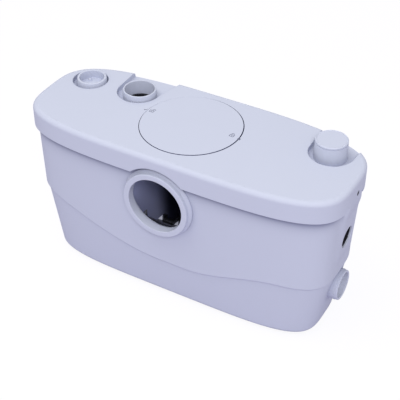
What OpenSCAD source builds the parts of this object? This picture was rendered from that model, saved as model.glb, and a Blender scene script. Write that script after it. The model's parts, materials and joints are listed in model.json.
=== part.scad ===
// Macerator toilet pump: a floor-standing tank with a lid, a grinder, a pump and its valves.
// X runs along the length, the pan inlet faces -Y, Z is up and the floor is at Z = 0.

/* [Lid] */
// Length of the lid
lid_l = 495; // [485:1:505]
// Depth of the lid, front to back
lid_w = 189; // [184:1:196]
// Height of the lid's top face above the floor
lid_top = 258; // [252:1:266]
// Height of the lid's skirt
skirt_h = 34; // [30:1:38]
// Wall of the lid
lid_wall = 3; // [2.5:0.5:4]
// Radius of the lid's top edge
lid_edge_r = 8; // [4:1:10]
// Fullness of the plan outline at the front
plan_front = 4; // [3.6:0.1:4.4]
// Fullness of the plan outline at the back
plan_back = 3.3; // [3:0.1:4]

/* [Tank] */
// Gap between the lid's wall and the tank's rim, at the ends
rim_gap_l = 4; // [3:0.5:6]
// Gap between the lid's wall and the tank's rim, at the sides
rim_gap_w = 4; // [3:0.5:6]
// Inset of the tank's foot from its rim, at the ends
foot_inset_l = 20.5; // [16:0.5:26]
// Inset of the tank's foot from its rim, at the sides
foot_inset_w = 12.5; // [10:0.5:15]
// Inset of the wall from rim to mid height, at the ends
upper_taper_l = 2.5; // [1:0.5:4]
// Inset of the wall from rim to mid height, at the sides
upper_taper_w = 2.5; // [1:0.5:4]
// Extra fullness of the tank's front corners over the lid's
tank_fullness = 0.5; // [0:0.1:0.6]
// Wall of the tank
tank_wall = 4; // [3:0.5:5]
// Radius of the tank's bottom edge
tank_edge_r = 8; // [4:1:12]
// Depth of the step at the wave crease
crease_step = 2.5; // [1:0.5:3]
// Height of the crease under the inlet
crease_low = 70; // [55:1:85]
// Rise of the crease towards the right end
crease_rise_right = 24; // [10:1:30]
// Rise of the crease towards the left end
crease_rise_left = 50; // [20:1:60]
// Height of the rubber feet
foot_pad_h = 3; // [2:0.5:6]
// Diameter of the rubber feet
foot_pad_d = 24; // [16:1:30]

/* [Pan inlet] */
// Place of the inlet and of the inspection cover along the length
inlet_x = -8; // [-14:1:0]
// Height of the inlet's axis
inlet_z = 181.5; // [178:0.5:185]
// Outer diameter of the inlet spigot
inlet_od = 102; // [98:1:106]
// Bore of the inlet spigot
inlet_id = 85; // [80:1:90]
// Reach of the inlet spigot in front of the lid
inlet_reach = 3.5; // [2:0.5:8]
// Gap between the spigot and the skirt's arch
arch_gap = 7.5; // [5:0.5:10]

/* [Inspection cover] */
// Diameter of the cover disc
cover_d = 147; // [140:1:150]
// Thickness of the cover disc
cover_t = 4; // [3:0.5:5]
// Width of the groove round the disc
cover_groove = 0.8; // [0.5:0.1:1.5]
// Turn that frees the bayonet lugs
cover_turn = 40; // [35:1:45]

/* [Lid sockets] */
// Distance of the outlet sockets behind the lid's middle line
socket_y = 40; // [36:1:42]
// Place of the discharge outlet along the length
outlet_x = -116; // [-120:1:-112]
// Bore of the discharge outlet
outlet_id = 44.4; // [40:0.2:45]
// Wall of the socket rims
rim_wall = 2.2; // [1.8:0.1:3]
// Depth of the discharge outlet's socket
outlet_depth = 31; // [26:1:32]
// Height of the discharge rim above the lid
outlet_rise = 8; // [5:0.5:10]
// Distance of the blind socket from the lid's left end
blind_inset = 48; // [46:0.5:52]
// Bore of the blind socket
blind_id = 37; // [34:0.5:38]
// Depth of the blind socket
blind_depth = 13; // [8:1:14]
// Height of the blind rim above the lid
blind_rise = 4.5; // [3:0.5:6]
// Distance of the capped outlet from the lid's right end
capped_inset = 58; // [55:0.5:62]
// Diameter of the outlet cap
cap_d = 46.6; // [44:0.2:48]
// Height of the cap above the lid
cap_rise = 21.5; // [18:0.5:24]
// Depth of the recesses round the sockets
recess_depth = 8; // [6:0.5:8.5]
// Gap between a socket and its recess wall
recess_gap = 8; // [6:0.5:10]

/* [Side inlets] */
// Distance of the side inlets from the middle line
side_y = -3; // [-6:1:6]
// Height of the upper side inlet
high_z = 161; // [156:1:166]
// Bore of the upper side inlet
high_id = 32; // [28:1:34]
// Height of the lower side inlet
low_z = 73; // [70:1:76]
// Outer diameter of the lower side spigot
low_od = 44.8; // [42:0.2:46]
// Bore of the lower side spigot
low_id = 38; // [34:1:39]
// Set-back of the lower spigot's mouth from the lid's end
low_setback = 4; // [2:0.5:6]
// Width of the raised pad round the upper inlet
pad_w = 57; // [50:1:60]

/* [Motor] */
// Height of the shaft's axis
shaft_z = 70; // [68:1:73]
// Outer diameter of the motor housing
motor_d = 108; // [100:1:112]
// Wall of the motor housing
motor_wall = 3; // [2:0.5:4]
// Gap between the grinder basket and the motor's seal boss
motor_gap = 2; // [1:0.5:4]
// Length of the motor housing
motor_l = 92; // [88:1:96]
// Diameter of the shaft inside the motor
shaft_d = 16; // [14:1:18]
// Diameter of the shaft at the cutter and the impeller
wet_shaft_d = 12; // [10:1:13]
// Diameter of the rotor
rotor_d = 52; // [44:1:56]
// Length of the rotor and the stator core
core_l = 40; // [34:1:42]
// Outer diameter of the ball bearings
bearing_d = 32; // [30:1:36]
// Width of the ball bearings
bearing_w = 10; // [8:1:11]

/* [Grinder] */
// Outer diameter of the grinder basket
basket_d = 114; // [110:1:116]
// Wall of the basket
basket_wall = 3; // [2:0.5:4]
// Length of the basket
basket_l = 104; // [98:1:106]
// Height of the basket's rim above the shaft
basket_rim = 35; // [30:1:38]
// Width of the basket's slots
slot_w = 4; // [3:0.5:6]
// Number of slots
slot_count = 13; // [7:2:15]
// Reach of the cutter blades from the shaft
blade_r = 45; // [40:1:46]
// Height of the fixed knives' teeth
tooth_h = 15; // [8:0.5:17]
// Spacing of the fixed knives' teeth
tooth_pitch = 26.5; // [24:0.5:32]

/* [Pump] */
// Outer diameter of the pump casing
volute_d = 104; // [98:1:108]
// Width of the pump casing
volute_w = 36; // [34:1:38]
// Diameter of the impeller
impeller_d = 80; // [70:1:84]
// Diameter of the suction eye
eye_d = 36; // [30:1:40]
// Outer diameter of the discharge pipe
pipe_d = 34; // [30:1:36]
// Bore of the discharge pipe
pipe_id = 27; // [24:1:28]
// Outer diameter of the non-return valve
valve_d = 52; // [50:1:56]
// Opening angle of the non-return flap
flap_open = 60; // [45:1:62]

/* [Pressure switch] */
// Shift of the pressure switch towards the pump, from midway between the pump and the tank's end
switch_shift = 15.25; // [11.25:0.5:19.25]
// Distance of the pressure switch from the middle line
switch_y = -25; // [-30:1:-20]
// Outer diameter of the air bell
bell_d = 32; // [28:1:36]
// Outer diameter of the switch housing
switch_d = 60; // [56:1:64]
// Travel of the switch plunger
plunger_travel = 2.4; // [1.5:0.1:2.6]

/* [Clearances] */
// Radial clearance of a running fit
run_clear = 0.05; // [0.02:0.01:0.1]
// Gap between pieces that move past each other
move_gap = 0.3; // [0.2:0.05:0.5]
// Air gap between the rotor and the stator core
air_gap = 0.6; // [0.4:0.1:1]
// Clearance of a fixed seat
seat_clear = 0.1; // [0.05:0.05:0.2]

/* [Hidden] */
$fn = 48;

// Colours of the materials
shell_color = "#d3d5e6";
rubber_color = "#2c2d31";
steel_color = "#b9bcc2";
black_color = "#3a3c42";
copper_color = "#b0683a";
grey_color = "#8d93a0";

// Points round a plan outline, and steps in a rounded edge
plan_n = 72;
edge_steps = 3;
// Length of a cut past the face that it opens
over = 1;

// Sizes of the tank that follow from the lid
tank_l = lid_l - 2 * (lid_wall + rim_gap_l);
tank_w = lid_w - 2 * (lid_wall + rim_gap_w);
foot_l = tank_l - 2 * foot_inset_l;
foot_w = tank_w - 2 * foot_inset_w;
tank_front = plan_front + tank_fullness;

// Heights of the casing
skirt_z = lid_top - skirt_h;
lid_under = lid_top - lid_wall;
ledge_drop = 7.5;
ledge_z = lid_under - ledge_drop;
ledge_lap = 3;
ledge_w = lid_wall + max(rim_gap_l, rim_gap_w) + tank_wall + ledge_lap;
gasket_h = 3.5;
rim_z = ledge_z - gasket_h;
tank_z = foot_pad_h;
floor_z = tank_z + tank_wall;

// Wave crease: the height of its slope, and where it starts to rise on each side
crease_h = 3;
crease_start_right = 30;
crease_run_right = 120;
crease_start_left = 10;
crease_run_left = 250;
crease_top = crease_low + max(crease_rise_right, crease_rise_left);
taper_z = 100;

function mix(p, q, f) = p + (q - p) * f;
function ease(f) = (1 - cos(180 * min(1, max(0, f)))) / 2;
function crease_z(x) = crease_low
    + crease_rise_right * ease((x - crease_start_right) / crease_run_right)
    + crease_rise_left * ease((-x - crease_start_left) / crease_run_left);

// Half sizes of the tank at a height: above the crease, below a crease at height top, and inside
function upper_half(size, taper, z) = size / 2 - taper * (rim_z - z) / (rim_z - taper_z);
function lower_half(size, taper, foot, z, top) =
    mix(foot / 2, upper_half(size, taper, top) - crease_step, (z - tank_z) / (top - tank_z));
function inner_half(size, taper, foot, z) = (z < crease_top
    ? lower_half(size, taper, foot, z, crease_top)
    : mix(lower_half(size, taper, foot, crease_top, crease_top), size / 2,
          (z - crease_top) / (rim_z - crease_top))) - tank_wall;

// Plan outline: a barrel with full corners, flatter at the front than at the back
function power(c, e) = sign(c) * pow(abs(c), e);
function fullness(t, front) = sin(t) < 0 ? front : plan_back;
function plan_x(t, front) = power(cos(t), 2 / fullness(t, front));
function plan_y(t, front) = power(sin(t), 2 / fullness(t, front));
angles = [for (i = [0:plan_n - 1]) 360 * i / plan_n];
function plan(a, b, front) = [for (t = angles) [a * plan_x(t, front), b * plan_y(t, front)]];
function flat_ring(a, b, z, front) = [for (p = plan(a, b, front)) [p[0], p[1], z]];
// Half length or half depth of a plan outline at a distance across it
function plan_reach(half, across, distance, n) = half * pow(1 - pow(abs(distance) / across, n), 1 / n);

// Rounded edge between a wall and a flat face: rings of inset and height
function edge_inset(r, i) = r * (1 - sin(90 * i / edge_steps));
function edge_height(r, i) = r * (1 - cos(90 * i / edge_steps));

// Points of the tank's outside at an angle, below and above the crease
function crease_at(t) = crease_z(tank_l / 2 * plan_x(t, tank_front));
function lower_point(t, z, inset) = let (top = crease_at(t) - crease_h / 2)
    [(lower_half(tank_l, upper_taper_l, foot_l, z, top) - inset) * plan_x(t, tank_front),
     (lower_half(tank_w, upper_taper_w, foot_w, z, top) - inset) * plan_y(t, tank_front), z];
function upper_point(t, z) =
    [upper_half(tank_l, upper_taper_l, z) * plan_x(t, tank_front),
     upper_half(tank_w, upper_taper_w, z) * plan_y(t, tank_front), z];

// Rings of the tank's outside, from the bottom up
function tank_rings() = concat(
    [for (i = [0:edge_steps]) [for (t = angles)
        lower_point(t, tank_z + edge_height(tank_edge_r, i), edge_inset(tank_edge_r, i))]],
    [[for (t = angles) lower_point(t, crease_at(t) - crease_h / 2, 0)]],
    [[for (t = angles) upper_point(t, crease_at(t) + crease_h / 2)]],
    [flat_ring(tank_l / 2, tank_w / 2, rim_z, tank_front)]);

// Rings of the tank's hollow, which runs out of the top
function hollow_rings() = [for (z = [floor_z, crease_top, rim_z + over])
    flat_ring(inner_half(tank_l, upper_taper_l, foot_l, z),
              inner_half(tank_w, upper_taper_w, foot_w, z), z, tank_front)];

// Rings of the lid's top, of its hollow and of the skirt under it, each set in from the outline
function lid_ring(inset, z) = flat_ring(lid_l / 2 - inset, lid_w / 2 - inset, z, plan_front);
function lid_rings() = concat(
    [lid_ring(0, ledge_z)],
    [for (i = [edge_steps:-1:0])
        lid_ring(edge_inset(lid_edge_r, i), lid_top - edge_height(lid_edge_r, i))]);
function lid_hollow_rings() = [lid_ring(ledge_w, ledge_z - over), lid_ring(ledge_w, lid_under)];
function skirt_rings(inset, past) = [lid_ring(inset, skirt_z - past), lid_ring(inset, ledge_z + past)];

// Closed solid through rings of equal length, the lowest first
module loft(rings) {
    n = len(rings[0]);
    last = len(rings) - 1;
    sides = [for (k = [0:last - 1], i = [0:n - 1])
        let (j = (i + 1) % n, low = k * n, high = low + n)
        each [[low + i, high + j, low + j], [low + i, high + i, high + j]]];
    bottom = [for (i = [0:n - 1]) i];
    top = [for (i = [n - 1:-1:0]) last * n + i];
    polyhedron(points = [for (r = rings) each r], faces = concat(sides, [bottom, top]), convexity = 6);
}

// Cylinders along the three axes, between two places on the axis
module x_cyl(d, x0, x1, y = 0, z = shaft_z) {
    translate([x0, y, z]) rotate([0, 90, 0]) cylinder(d = d, h = x1 - x0);
}
module y_cyl(d, y0, y1, x, z) {
    translate([x, y0, z]) rotate([-90, 0, 0]) cylinder(d = d, h = y1 - y0);
}
module z_cyl(d, z0, z1, x, y) {
    translate([x, y, z0]) cylinder(d = d, h = z1 - z0);
}
module x_ring(d, bore, x0, x1) {
    difference() {
        x_cyl(d, x0, x1);
        x_cyl(bore, x0 - over, x1 + over);
    }
}
module z_cone(d0, d1, z0, z1, x, y) {
    translate([x, y, z0]) cylinder(d1 = d0, d2 = d1, h = z1 - z0);
}
module z_ring(d, bore, z0, z1, x, y) {
    difference() {
        z_cyl(d, z0, z1, x, y);
        z_cyl(bore, z0 - over, z1 + over, x, y);
    }
}
// Block between two corners
module block(low, high) {
    translate(low) cube(high - low);
}

// Places of the pan inlet and its arch
inlet_face = -lid_w / 2 - inlet_reach;
inlet_lip = 3;
inlet_back = -tank_w / 2 + tank_wall + inlet_lip;
arch_d = inlet_od + 2 * arch_gap;
flare_w = 3;
flare_l = 3;
flare_step = 1.5;
flare_y = -tank_w / 2 - flare_step;

// Places of the inspection cover
cover_y = 4.5;
cover_seat = lid_top - cover_t;
cover_ring_w = 6;
cover_ring_z = ledge_z;
cover_ledge_w = 5;
cover_opening_d = cover_d - 2 * cover_ledge_w;
cover_ring_d = cover_d + 2 * cover_groove + 2 * cover_ring_w;
plug_d = cover_opening_d - 2 * move_gap;
plug_wall = 6;
plug_h = 16;
lug_count = 3;
lug_step = 360 / lug_count;
lug_angle = 24;
notch_play = 4;
lug_reach = 4;
lug_h = 3.5;
notch_angle = lug_angle + notch_play;
seal_w = 2.4;
seal_h = 2.4;
seal_drop = 3.6;
seal_z = cover_seat - seal_drop;

// Places of the lid sockets
blind_x = -lid_l / 2 + blind_inset;
capped_x = lid_l / 2 - capped_inset;
outlet_rim = lid_top + outlet_rise;
outlet_floor = outlet_rim - outlet_depth;
socket_floor_t = 3.3;
outlet_d = outlet_id + 2 * rim_wall;
outlet_flare = 1.1;
blind_shift = 2.5;
blind_y = socket_y - blind_shift;
blind_wall = 3.2;
blind_d = blind_id + 2 * blind_wall;
blind_flare = 2.5;
blind_rim = lid_top + blind_rise;
blind_floor = blind_rim - blind_depth;
recess_z = lid_top - recess_depth;
neck_gap = 2.8;
neck_d = cap_d - 2 * neck_gap;
neck_wall = 3.5;
neck_id = neck_d - 2 * neck_wall;
cap_t = 9.5;
cap_top = lid_top + cap_rise;
neck_top = cap_top - cap_t;
neck_depth = 18;
neck_floor = lid_top - neck_depth;
cap_wall = neck_gap - move_gap;
cap_chamfer = 1.4;
cap_seal_rise = 5;
cap_seal_z = lid_top + cap_seal_rise;
cap_seal_h = 2.4;
cap_seal_depth = 1.6;

// Lid screws, sunk in the skirt, one at each end
screw_y = 2.5;
screw_drop = 12.5;
screw_z = ledge_z - screw_drop;
screw_d = 4;
screw_head_d = 7.5;
screw_head_h = 1.6;
screw_l = 12;
boss_d = 10;
skirt_end = plan_reach(lid_l / 2, lid_w / 2, screw_y, plan_back);
screw_seat = skirt_end - screw_head_h - seat_clear;
boss_face = skirt_end - lid_wall - 2 * move_gap;

// Things at both ends, drawn for the right one
module both_ends() {
    for (side = [0, 1]) mirror([side, 0, 0]) children();
}
module screw_boss() {
    x_cyl(boss_d, tank_l / 2 - tank_wall, boss_face, screw_y, screw_z);
}
module screw_hole() {
    x_cyl(screw_d, screw_seat - screw_l - over, lid_l / 2 + over, screw_y, screw_z);
    x_cyl(screw_head_d + 2 * seat_clear, screw_seat, lid_l / 2 + over, screw_y, screw_z);
}

// Side inlets: pad round the upper one, tubes that carry the flaps
pad_setback = 2.5;
pad_lean = 6;
pad_drop = 22;
pad_lap = 5;
panel_t = 6;
window_depth = 5;
pad_face_top = lid_l / 2 - pad_setback;
pad_face_low = pad_face_top - pad_lean;
pad_low_z = high_z - high_id / 2 - pad_drop;
pad_top = skirt_z + pad_lap;
pad_flush = 1.2;
pad_flush_x = lid_l / 2 - pad_flush;
pad_flush_drop = 4;
pad_flush_z = skirt_z - pad_flush_drop;
pad_flare_h = 20;
pad_flare_z = pad_flush_z - pad_flare_h;
pad_flare_x = pad_face_low + pad_lean * (pad_flare_z - pad_low_z) / (pad_top - pad_low_z);
pad_clear = 0.6;
pad_shift = 3.5;
pad_y = side_y - pad_shift;
panel_x = pad_face_low - panel_t;
low_mouth_x = lid_l / 2 - low_setback;
low_grip = 4.8;
low_step = 0.6;
low_collar_x = low_mouth_x - low_grip;
high_tube_l = 24.5;
low_tube_l = 15;
high_tube_end = tank_l / 2 - tank_wall;
high_seat_x = high_tube_end - high_tube_l;
low_seat_x = foot_l / 2 - low_tube_l;
seat_wall = 4;
ear_t = 3;
ear_l = 9;
ear_gap = 0.5;
knuckle_w = 15;
knuckle_d = 6;
knuckle_gap = 0.6;
flap_pin_d = 3;
flap_t = 2;
flap_margin = 3;
function flap_d(bore) = bore + 2 * flap_margin;
function hinge_z(z, bore) = z + bore / 2 + seat_wall + knuckle_gap + knuckle_d / 2;
function hinge_x(seat) = seat - move_gap - flap_t / 2;

// Two ears above a side tube, which hold the flap's pin
module flap_ears(seat, z, bore) {
    ear_z = hinge_z(z, bore);
    ear_in = knuckle_w / 2 + ear_gap;
    difference() {
        for (s = [-1, 1]) {
            translate([0, side_y + s * (ear_in + ear_t / 2), 0]) {
                block([seat, -ear_t / 2, z + bore / 4], [seat + ear_l, ear_t / 2, ear_z + knuckle_d / 2]);
                block([hinge_x(seat) - knuckle_d / 2, -ear_t / 2, ear_z - knuckle_d / 2],
                      [seat + over, ear_t / 2, ear_z + knuckle_d / 2]);
            }
        }
        x_cyl(bore, seat - over, seat + ear_l + over, side_y, z);
        y_cyl(flap_pin_d + 2 * run_clear, side_y - ear_in - ear_t - over,
              side_y + ear_in + ear_t + over, hinge_x(seat), ear_z);
    }
}

// Hinged flap that hangs over a side tube's inner mouth
module side_flap(seat, z, bore) {
    pin_x = hinge_x(seat);
    pin_z = hinge_z(z, bore);
    difference() {
        union() {
            x_cyl(flap_d(bore), pin_x - flap_t / 2, pin_x + flap_t / 2, side_y, z);
            y_cyl(knuckle_d, side_y - knuckle_w / 2, side_y + knuckle_w / 2, pin_x, pin_z);
            block([pin_x - flap_t / 2, side_y - knuckle_w / 2, z + bore / 4],
                  [pin_x + flap_t / 2, side_y + knuckle_w / 2, pin_z]);
        }
        y_cyl(flap_pin_d + 2 * run_clear, side_y - knuckle_w, side_y + knuckle_w, pin_x, pin_z);
    }
}
module flap_pin(seat, z, bore) {
    reach = knuckle_w / 2 + ear_gap + ear_t;
    y_cyl(flap_pin_d, side_y - reach, side_y + reach, hinge_x(seat), hinge_z(z, bore));
}

module tank() {
    color(shell_color)
    difference() {
        union() {
            difference() {
                union() {
                    loft(tank_rings());
                    inlet_collar();
                    both_ends() screw_boss();
                }
                loft(hollow_rings());
                side_window();
            }
            y_cyl(inlet_od, inlet_face, inlet_back, inlet_x, inlet_z);
            x_cyl(low_od + 2 * low_step, low_seat_x, low_collar_x, side_y, low_z);
            x_cyl(low_od, low_collar_x - over, low_mouth_x, side_y, low_z);
            flap_ears(low_seat_x, low_z, low_id);
        }
        y_cyl(inlet_id, inlet_face - over, inlet_back + over, inlet_x, inlet_z);
        x_cyl(low_id, low_seat_x - over, low_mouth_x + over, side_y, low_z);
        both_ends() screw_hole();
        gland_hole();
    }
}

// Flared root of the inlet spigot on the tank's front
module inlet_collar() {
    translate([inlet_x, flare_y, inlet_z]) rotate([90, 0, 0])
        cylinder(d1 = inlet_od + 2 * flare_w, d2 = inlet_od, h = flare_l);
    y_cyl(inlet_od + 2 * flare_w, flare_y, -tank_w / 2 + tank_wall + over, inlet_x, inlet_z);
}

// Window at the right end, and the raised flat panel that fills it up to behind the skirt
module side_window() {
    half = pad_w / 2 + seat_clear;
    block([panel_x - window_depth, pad_y - half, pad_low_z - seat_clear],
          [lid_l / 2, pad_y + half, pad_top + seat_clear]);
}
module side_panel() {
    color(shell_color)
    difference() {
        union() {
            translate([0, pad_y + pad_w / 2, 0]) rotate([90, 0, 0]) linear_extrude(pad_w)
                polygon([[panel_x, pad_low_z], [pad_face_low, pad_low_z], [pad_flare_x, pad_flare_z],
                         [pad_flush_x, pad_flush_z], [pad_flush_x, pad_top], [panel_x, pad_top]]);
            x_cyl(high_id + 2 * seat_wall, high_seat_x, panel_x + over, side_y, high_z);
            flap_ears(high_seat_x, high_z, high_id);
        }
        x_cyl(high_id, high_seat_x - over, pad_face_top + over, side_y, high_z);
    }
}

// Outline of a recess round a socket, which opens wider towards the lid's back
outlet_recess_r = outlet_d / 2 + recess_gap;
capped_recess_extra = 1;
capped_recess_r = cap_d / 2 + recess_gap + capped_recess_extra;
blind_recess_gap = 5;
blind_recess_r = blind_d / 2 + blind_recess_gap;
recess_back = lid_w / 2 + over;
flare_left = 2.5;
flare_right = 11;
outlet_recess_shift = 4;
capped_recess_shift = 1.5;
blind_recess_shift = 1.5;
module recess_plan(r, x, y, left, right) {
    translate([x, y]) circle(r);
    polygon([[x - r, y], [x + r, y], [x + r + right, recess_back], [x - r - left, recess_back]]);
}
module recess_plans(grow) {
    recess_plan(outlet_recess_r + grow, outlet_x - outlet_recess_shift, socket_y + outlet_recess_shift,
                flare_left, flare_right);
    recess_plan(capped_recess_r + grow, capped_x + capped_recess_shift, socket_y, flare_left, flare_left);
    translate([blind_x - blind_recess_shift, blind_y - blind_recess_shift]) circle(blind_recess_r + grow);
}

// Solid material kept under the recesses and the cover's seat
module lid_keep() {
    translate([0, 0, ledge_z]) linear_extrude(lid_top - ledge_z) recess_plans(lid_wall);
    z_cyl(cover_ring_d, cover_ring_z, lid_top, inlet_x, cover_y);
}

// Holes in the recesses' floors that the sockets stand in
module socket_holes() {
    low = ledge_z - over;
    high = recess_z + over;
    z_cyl(outlet_d + 2 * seat_clear, low, high, outlet_x, socket_y);
    z_cyl(blind_d + 2 * seat_clear, low, high, blind_x, blind_y);
    z_cyl(neck_d + 2 * seat_clear, low, high, capped_x, socket_y);
}

// Bayonet opening under the inspection cover, with the notches that let the lugs out
module cover_opening() {
    z_cyl(cover_d + 2 * cover_groove, cover_seat, lid_top + over, inlet_x, cover_y);
    z_cyl(cover_opening_d, cover_ring_z - over, lid_top, inlet_x, cover_y);
    for (i = [0:lug_count - 1])
        cover_sector(cover_opening_d / 2 + lug_reach, notch_angle, lug_step * i + cover_turn,
                     cover_ring_z - over, lid_top);
}
// Part of a disc round the cover's axis, an angle wide
module cover_sector(r, angle, turn, z0, z1) {
    translate([inlet_x, cover_y, z0]) rotate([0, 0, turn - angle / 2])
        rotate_extrude(angle = angle) translate([plug_d / 2 - plug_wall / 2, 0])
            square([r - plug_d / 2 + plug_wall / 2, z1 - z0]);
}

module lid() {
    color(shell_color)
    difference() {
        loft(lid_rings());
        difference() {
            loft(lid_hollow_rings());
            lid_keep();
        }
        translate([0, 0, recess_z]) linear_extrude(recess_depth + over) recess_plans(0);
        socket_holes();
        cover_opening();
    }
}

// Skirt under the lid's top, with the arch, the notch over the side panel and the screw holes
module lid_skirt() {
    color(shell_color)
    difference() {
        loft(skirt_rings(0, 0));
        loft(skirt_rings(lid_wall, over));
        y_cyl(arch_d, -lid_w, -lid_w / 2 + ledge_w, inlet_x, inlet_z);
        block([tank_l / 2 - tank_wall, pad_y - pad_w / 2 - pad_clear, skirt_z - over],
              [lid_l / 2 + over, pad_y + pad_w / 2 + pad_clear, pad_top + pad_clear]);
        both_ends() screw_hole();
    }
}

// Discharge socket, blind socket and the neck under the cap, which stand in the recesses
module lid_sockets() {
    color(shell_color) {
        difference() {
            union() {
                z_cyl(outlet_d, outlet_floor - socket_floor_t, recess_z, outlet_x, socket_y);
                z_cone(outlet_d + 2 * outlet_flare, outlet_d, recess_z, outlet_rim, outlet_x, socket_y);
            }
            z_cyl(outlet_id, outlet_floor, outlet_rim + over, outlet_x, socket_y);
            z_cyl(pipe_id, outlet_floor - socket_floor_t - over, outlet_floor + over, outlet_x, socket_y);
        }
        difference() {
            union() {
                z_cyl(blind_d, blind_floor - socket_floor_t, recess_z, blind_x, blind_y);
                z_cone(blind_d + 2 * blind_flare, blind_d, recess_z, blind_rim, blind_x, blind_y);
            }
            z_cyl(blind_id, blind_floor, blind_rim + over, blind_x, blind_y);
        }
        difference() {
            z_cyl(neck_d, neck_floor - socket_floor_t, neck_top, capped_x, socket_y);
            z_cyl(neck_id, neck_floor, neck_top + over, capped_x, socket_y);
            z_ring(neck_d + 2 * over, neck_d - 2 * cap_seal_depth, cap_seal_z, cap_seal_z + cap_seal_h,
                   capped_x, socket_y);
        }
    }
}

module lid_gasket() {
    color(rubber_color)
    translate([0, 0, rim_z]) linear_extrude(gasket_h) difference() {
        polygon(plan(tank_l / 2, tank_w / 2, tank_front));
        polygon(plan(tank_l / 2 - tank_wall, tank_w / 2 - tank_wall, tank_front));
    }
}

module lid_screws() {
    color(steel_color)
    both_ends() {
        x_cyl(screw_d - 2 * seat_clear, screw_seat - screw_l, screw_seat, screw_y, screw_z);
        x_cyl(screw_head_d, screw_seat, screw_seat + screw_head_h, screw_y, screw_z);
    }
}

module inspection_cover() {
    color(shell_color)
    difference() {
        union() {
            z_cyl(cover_d, cover_seat + run_clear, lid_top, inlet_x, cover_y);
            z_cyl(plug_d, cover_seat - plug_h, cover_seat + over, inlet_x, cover_y);
            for (i = [0:lug_count - 1])
                cover_sector(cover_opening_d / 2 + lug_reach - 2 * move_gap, lug_angle,
                             lug_step * i, cover_ring_z - move_gap - lug_h,
                             cover_ring_z - move_gap);
        }
        z_cyl(plug_d - 2 * plug_wall, cover_seat - plug_h - over, cover_seat, inlet_x, cover_y);
        z_ring(cover_d, plug_d - 2 * seal_w, seal_z, seal_z + seal_h, inlet_x, cover_y);
    }
}

module cover_seal() {
    color(rubber_color)
    z_ring(cover_opening_d - 2 * run_clear, plug_d - 2 * seal_w, seal_z, seal_z + seal_h,
           inlet_x, cover_y);
}

module outlet_cap() {
    color(shell_color)
    translate([capped_x, socket_y, 0]) rotate_extrude()
        polygon([[0, neck_top + move_gap], [cap_d / 2 - cap_wall, neck_top + move_gap],
                 [cap_d / 2 - cap_wall, recess_z + move_gap], [cap_d / 2, recess_z + move_gap],
                 [cap_d / 2, cap_top - cap_chamfer], [cap_d / 2 - cap_chamfer, cap_top], [0, cap_top]]);
}

module cap_seal() {
    color(rubber_color)
    z_ring(neck_d + move_gap, neck_d - 2 * cap_seal_depth, cap_seal_z, cap_seal_z + cap_seal_h,
           capped_x, socket_y);
}

foot_pad_inset_l = 70;
foot_pad_inset_w = 32;
module feet() {
    foot_x = foot_l / 2 - foot_pad_inset_l;
    foot_y = foot_w / 2 - foot_pad_inset_w;
    color(rubber_color)
    for (x = [-foot_x, foot_x], y = [-foot_y, foot_y]) z_cyl(foot_pad_d, 0, foot_pad_h, x, y);
}

// Grinder: basket round the shaft, open at its rim
basket_x0 = inlet_x - basket_l / 2;
basket_x1 = inlet_x + basket_l / 2;
rim_height = shaft_z + basket_rim;
rim_half = sqrt(pow(basket_d / 2, 2) - pow(basket_rim, 2));
slot_span = 130;
slot_end = 17;
slot_l = basket_l - 2 * slot_end;
basket_foot_l = 12;
basket_foot_w = 14;
basket_foot_y = 34;
basket_foot_inset = 4;
basket_foot_drop = 28;
basket_foot_top = shaft_z - basket_foot_drop;
bush_d = 20;
bush_out = 2;
bush_in = 4;

module grinder_basket() {
    color(grey_color)
    difference() {
        union() {
            x_cyl(basket_d, basket_x0, basket_x1);
            for (x = [basket_x0 + basket_foot_inset, basket_x1 - basket_foot_l - basket_foot_inset],
                 y = [-basket_foot_y, basket_foot_y])
                block([x, y - basket_foot_w / 2, floor_z],
                      [x + basket_foot_l, y + basket_foot_w / 2, basket_foot_top]);
        }
        x_cyl(basket_d - 2 * basket_wall, basket_x0 + basket_wall, basket_x1 - basket_wall);
        block([basket_x0 - over, -basket_d, rim_height], [basket_x1 + over, basket_d, rim_height + basket_d]);
        x_cyl(bush_d, basket_x0 - over, basket_x0 + basket_wall + over);
        x_cyl(shaft_d + 2 * shaft_room, basket_x1 - basket_wall - over, basket_x1 + over);
        for (i = [0:slot_count - 1])
            translate([inlet_x - slot_l / 2, 0, shaft_z])
                rotate([180 + slot_span * (i / (slot_count - 1) - 0.5), 0, 0])
                    translate([0, -slot_w / 2, basket_d / 2 - 3 * basket_wall])
                        cube([slot_l, slot_w, 4 * basket_wall]);
    }
}

// Fixed comb on the apron's top edge, behind the pan inlet
knife_t = 3;
knife_gap = 1;
comb_h = 2;
tooth_w = 10.5;
tooth_lean = 0.5;
tooth_offset = -28.7;
tooth_count = 3;
apron_foot_gap = 2;

// Chute above the basket: back wall, two side walls and a sloping apron under the inlet
hopper_t = 3;
hopper_rise = 4;
hopper_top = inlet_z + inlet_id / 2 + hopper_rise;
apron_drop = 5;
apron_top = inlet_z - inlet_id / 2 - apron_drop;
apron_gap = 3;
apron_front = -inner_half(tank_w, upper_taper_w, foot_w, apron_top) + apron_gap;
apron_foot = -rim_half - knife_t - apron_foot_gap;

module inlet_hopper() {
    color(grey_color) {
        block([basket_x0, rim_half - hopper_t, rim_height], [basket_x1, rim_half, hopper_top]);
        for (x = [basket_x0, basket_x1 - hopper_t]) translate([x, 0, 0]) hopper_cheek();
        translate([basket_x0, 0, 0]) rotate([90, 0, 90]) linear_extrude(basket_l)
            polygon([[apron_foot, rim_height], [apron_foot + hopper_t, rim_height],
                     [apron_front + hopper_t, apron_top], [apron_front, apron_top]]);
    }
}
module hopper_cheek() {
    rotate([90, 0, 90]) linear_extrude(hopper_t)
        polygon([[apron_foot, rim_height], [rim_half, rim_height], [rim_half, hopper_top],
                 [apron_front, hopper_top], [apron_front, apron_top]]);
}

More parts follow.
